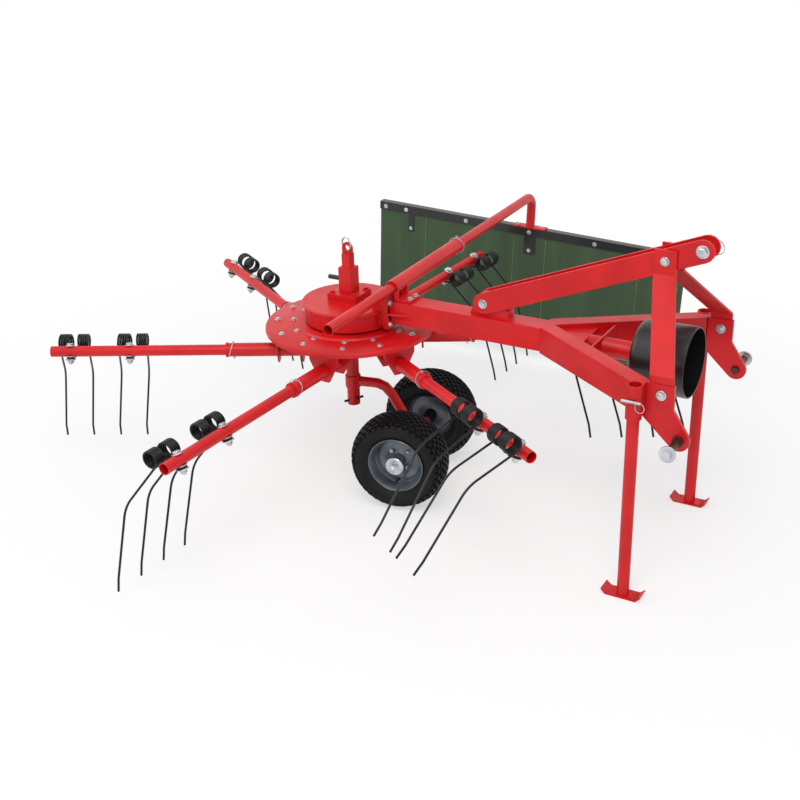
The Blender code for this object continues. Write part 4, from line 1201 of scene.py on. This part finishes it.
# --- frame dressing
@dataclass
class Hitch:
    """Fasteners and clips of the frame, and the splined shaft."""

    shop: Workshop
    templates: Templates
    beam_height: float = 0.750
    flange_front: float = 0.2183
    leg: tuple = (1.310, 0.3655)
    # x, y, z and size of each side's bolts: plate, foot of the top bar, strap
    side_bolts: tuple = ((1.387, 0.330, 0.762, 1.35), (0.600, 0.035, 0.845, 1.35),
                         (1.278, 0.0453, 1.112, 1.25))
    plate_inside: float = 0.315
    block: tuple = (0.050, 0.045, 0.789)
    sleeve: tuple = (0.191, 0.545, 0.842)
    top_pin: tuple = (1.400, 1.160)

    @staticmethod
    def at(x: float, y: float, z: float) -> Vector:
        """A place measured from the rotor's axis."""
        return ROTOR_AXIS + Vector((x, y, z))

    def fasteners(self) -> None:
        """Bolts of the flange, the block, the sleeve's foot, the plates and the bars."""
        bolt, nut = self.templates.bolt, self.templates.nut
        rows = [(self.at(self.flange_front, y, self.beam_height + z), AHEAD, LEFT, 1.0)
                for y in (-0.060, 0.060) for z in (-0.043, 0.043)]
        rows += [(self.at(0.283, y, 0.8053), UP, AHEAD, 1.0) for y in (-0.016, 0.026)]
        rows += [(self.at(x, side * y, z), side * LEFT, AHEAD, size)
                 for side in (-1, 1) for x, y, z, size in self.side_bolts]
        pin_x, pin_z = self.top_pin
        rows.append((self.at(pin_x, -0.035, pin_z), -LEFT, AHEAD, 1.75))
        plate_x, _, plate_z, size = self.side_bolts[0]
        inside = [(self.at(plate_x, side * self.plate_inside, plate_z), -side * LEFT, AHEAD, size)
                  for side in (-1, 1)]
        self.shop.fasten("frame_bolts", [(bolt, rows), (nut, inside)], "frame")
        block_x, block_y, block_z = self.block
        painted = [(self.at(x, y, block_z), UP, AHEAD, 1.20)
                   for x in (-block_x, block_x) for y in (-block_y, block_y)]
        self.shop.fasten("block_bolts", [(bolt, painted)], "frame", PAINT)

    def clips(self) -> None:
        """Leg pins, the lifting ring, the wire rings of sleeve and bars, the column's pins."""
        bars = []
        leg_x, leg_y = self.leg
        for side in (-1, 1):
            y = side * (leg_y + 0.0335)
            pin = [self.at(leg_x - 0.033, y, 0.752), self.at(leg_x + 0.034, y, 0.752)]
            ring = ring_clip(self.at(leg_x + 0.030, y, 0.736), Vector((0.2, 1, 0)), 0.017, UP)
            bars += [([pin], 0.0052, 14), ([ring], 0.0013, 8, True)]
        sleeve = self.at(*self.sleeve)
        eye_ring = ring_clip(self.at(-0.004, 0.0, 0.980), Vector((0.35, 1, 0)), 0.026, UP)
        sleeve_ring = ring_clip(sleeve, Vector((-0.03, 1, 0.25)), 0.0345, UP)
        pin_x, pin_z = self.top_pin
        top_pin = [self.at(pin_x, -0.0372, pin_z), self.at(pin_x, 0.062, pin_z)]
        hang = self.at(pin_x + 0.024, 0.056, pin_z - 0.008)
        top_ring = ring_clip(hang, Vector((0.3, 1, 0)), 0.024, UP)
        bars += [([eye_ring], 0.0034, 12, True), ([sleeve_ring], 0.0015, 8, True),
                 ([[sleeve + 0.040 * UP, sleeve - 0.040 * UP]], 0.0040, 12),
                 ([top_pin], 0.0118, 24), ([top_ring], 0.0016, 8, True)]
        self.shop.wires("pins_and_rings", bars, "frame")
        stops = [([[self.at(x, y, z), self.at(-x, -y, z)]], 0.0052, 14)
                 for x, y, z in ((0.020, 0.038, 0.322), (-0.036, 0.020, 0.338))]
        self.shop.wires("column_pins", stops, "frame", SPRING_BLACK)

    def shaft(self) -> None:
        """The splined end of the drive shaft."""
        low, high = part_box("drive_shaft")
        middle = (low + high) / 2
        outer = (high.z - low.z) / 2
        root, teeth = outer - 0.0030, 6
        shares = ((0.0, root), (0.28, root), (0.34, outer), (0.66, outer), (0.72, root))
        outline = [radius * around(math.tau * (tooth + share) / teeth)[0]
                   for tooth in range(teeth) for share, radius in shares]
        bm = bmesh.new()
        ends = [(low.x, 0.82), (low.x + 0.002, 1.0), (high.x - 0.003, 1.0), (high.x, 0.86)]
        rings = [[bm.verts.new((x, middle.y + spot.x * size, middle.z + spot.y * size))
                  for spot in outline] for x, size in ends]
        walled(bm, rings)
        bmesh.ops.recalc_face_normals(bm, faces=bm.faces)
        self.shop.piece("splined_shaft", finished(bm, "shaft"), "drive_shaft", MACHINED,
                        ("drive_shaft",))

    def guard(self) -> None:
        """The round guard with its rolled front edge."""
        low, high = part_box("shaft_guard")
        middle = (low + high) / 2
        radius, wall = (high.z - low.z) / 2, 0.0040
        hole, curve = 0.0366, 0.030
        length = high.x - low.x
        profile = [(hole, wall), *arc((radius - curve, curve), curve - wall, -90, 0, 8),
                   (radius - wall, length - 0.003), (radius - wall - 0.001, length - 0.0008),
                   (radius - wall / 2, length), (radius, length - 0.002), (radius, length - 0.010),
                   *arc((radius - curve, curve), curve, 0, -90, 8), (hole, 0.0)]
        matrix = (Matrix.Translation((low.x, middle.y, middle.z))
                  @ Matrix.Rotation(math.radians(90), 4, "Y"))
        self.shop.piece("round_guard", finished(turned(profile, 96, matrix), "guard", 40.0),
                        "frame", SATIN_BLACK, ("shaft_guard",))

    def build(self) -> None:
        """Dress the frame."""
        self.fasteners()
        self.clips()
        self.shaft()
        self.guard()


@dataclass
class PaintedSteel:
    """CAD nodes whose shape stays, with their edges rounded."""

    shop: Workshop
    edge: float = 0.0016
    taken: tuple = ("tyre_", "rim_", "drive_shaft", "shaft_guard", "curtain_cloth")
    finishes: dict = field(default_factory=lambda: {
        "adjuster_handle": SATIN_BLACK, "curtain_rail": SATIN_BLACK,
        "link_pin_left": PIN_STEEL, "link_pin_right": PIN_STEEL})

    def body_of(self, node: str) -> str:
        """The body that a node belongs to."""
        bodies = frame["record"]["behaviour"]["bodies"]
        return next(body for body, nodes in bodies.items() if node in nodes)

    def build(self) -> None:
        """Round and paint every node that nothing else replaces."""
        for node in frame["nodes"]:
            if "_tines_" in node or node.startswith(self.taken):
                continue
            finish = self.finishes.get(node, PAINT)
            self.shop.piece(node + "_finished", softened(node, self.edge), self.body_of(node),
                            finish, (node,))


# --- studio
@dataclass
class Studio:
    """Pale floor, soft light and the camera."""

    eye: tuple = (2.5248, -3.9300, 2.4904)
    heading: float = 120.51
    dip: float = 24.94
    roll: float = -1.55
    lens: float = 56.79
    shift: tuple = (0.0024, -0.0025)
    light_aim: float = 0.5

    def camera(self) -> None:
        """Place the camera."""
        data = bpy.data.cameras.new("camera")
        data.lens = self.lens
        data.shift_x, data.shift_y = self.shift
        data.clip_end = 100.0
        made = linked("camera", data)
        heading, dip = math.radians(self.heading), math.radians(self.dip)
        ahead = math.cos(dip) * around(heading)[0] - math.sin(dip) * UP
        turn = ahead.to_track_quat("-Z", "Y").to_matrix().to_4x4()
        made.matrix_world = (Matrix.Translation(ROTOR_AXIS + Vector(self.eye)) @ turn
                             @ Matrix.Rotation(math.radians(self.roll), 4, "Z"))
        bpy.context.scene.camera = made

    def floor(self) -> None:
        """A large pale floor that keeps the machine's soft shadow."""
        bm = bmesh.new()
        bmesh.ops.create_grid(bm, x_segments=1, y_segments=1, size=40.0)
        bm.transform(Matrix.Translation((0, 0, -0.0005)))
        made = linked("floor", finished(bm, "floor"))
        material, graph = new_material("pale_floor", {"Base Color": (0.90, 0.90, 0.90, 1.0),
                                                      "Roughness": 0.9})
        away = graph.add("ShaderNodeVectorMath", {"operation": "LENGTH"}, {0: graph.place()},
                         "Value")
        share = graph.seen() * (away.step(1.0, 3.0) * 0.45 + 0.55)
        white = graph.add("ShaderNodeEmission", {}, {"Color": WHITE, "Strength": 1.0})
        lit = Value(graph, material.node_tree.nodes["Principled BSDF"].outputs[0])
        both = graph.add("ShaderNodeMixShader", {}, {0: share, 1: lit, 2: white})
        graph.feed(both, "Material Output", "Surface")
        made.data.materials.append(material)

    def lights(self) -> None:
        """A white surround, a large soft key light and a gentle fill."""
        world = bpy.data.worlds.new("surround")
        world.use_nodes = True
        graph = Graph(world.node_tree)
        world.node_tree.nodes["Background"].inputs["Color"].default_value = WHITE
        graph.feed(graph.seen() * 0.30 + 0.70, "Background", "Strength")
        bpy.context.scene.world = world
        for name, place, size, energy in (("key", (1.6, -3.2, 5.2), 3.2, 150.0),
                                          ("fill", (-4.2, -1.5, 3.6), 3.0, 45.0)):
            light = bpy.data.lights.new(name, "AREA")
            light.size = size
            light.energy = energy
            made = linked(name, light)
            made.location = place
            towards = self.light_aim * UP - Vector(place)
            made.rotation_euler = towards.to_track_quat("-Z", "Y").to_euler()

    def build(self) -> None:
        """Set the scene up."""
        self.camera()
        self.floor()
        self.lights()
        bpy.context.scene.view_settings.view_transform = "Standard"


def main() -> None:
    """Build the machine's looks in order."""
    logging.basicConfig(level=logging.INFO, format="%(message)s")
    shop = Workshop()
    templates = Templates()
    arms = ArmPlace.all()
    PaintedSteel(shop).build()
    Rotor(shop, templates).build(arms)
    springs = SpringTines(shop, templates)
    for arm in arms:
        springs.build(arm)
    wheel = Wheel(shop, templates)
    for side in ("left", "right"):
        wheel.build(side)
    Curtain(shop, templates).build()
    Hitch(shop, templates).build()
    templates.clear()
    Studio().build()
    log.info("%d pieces", shop.count)


if __name__ == "__main__":
    main()
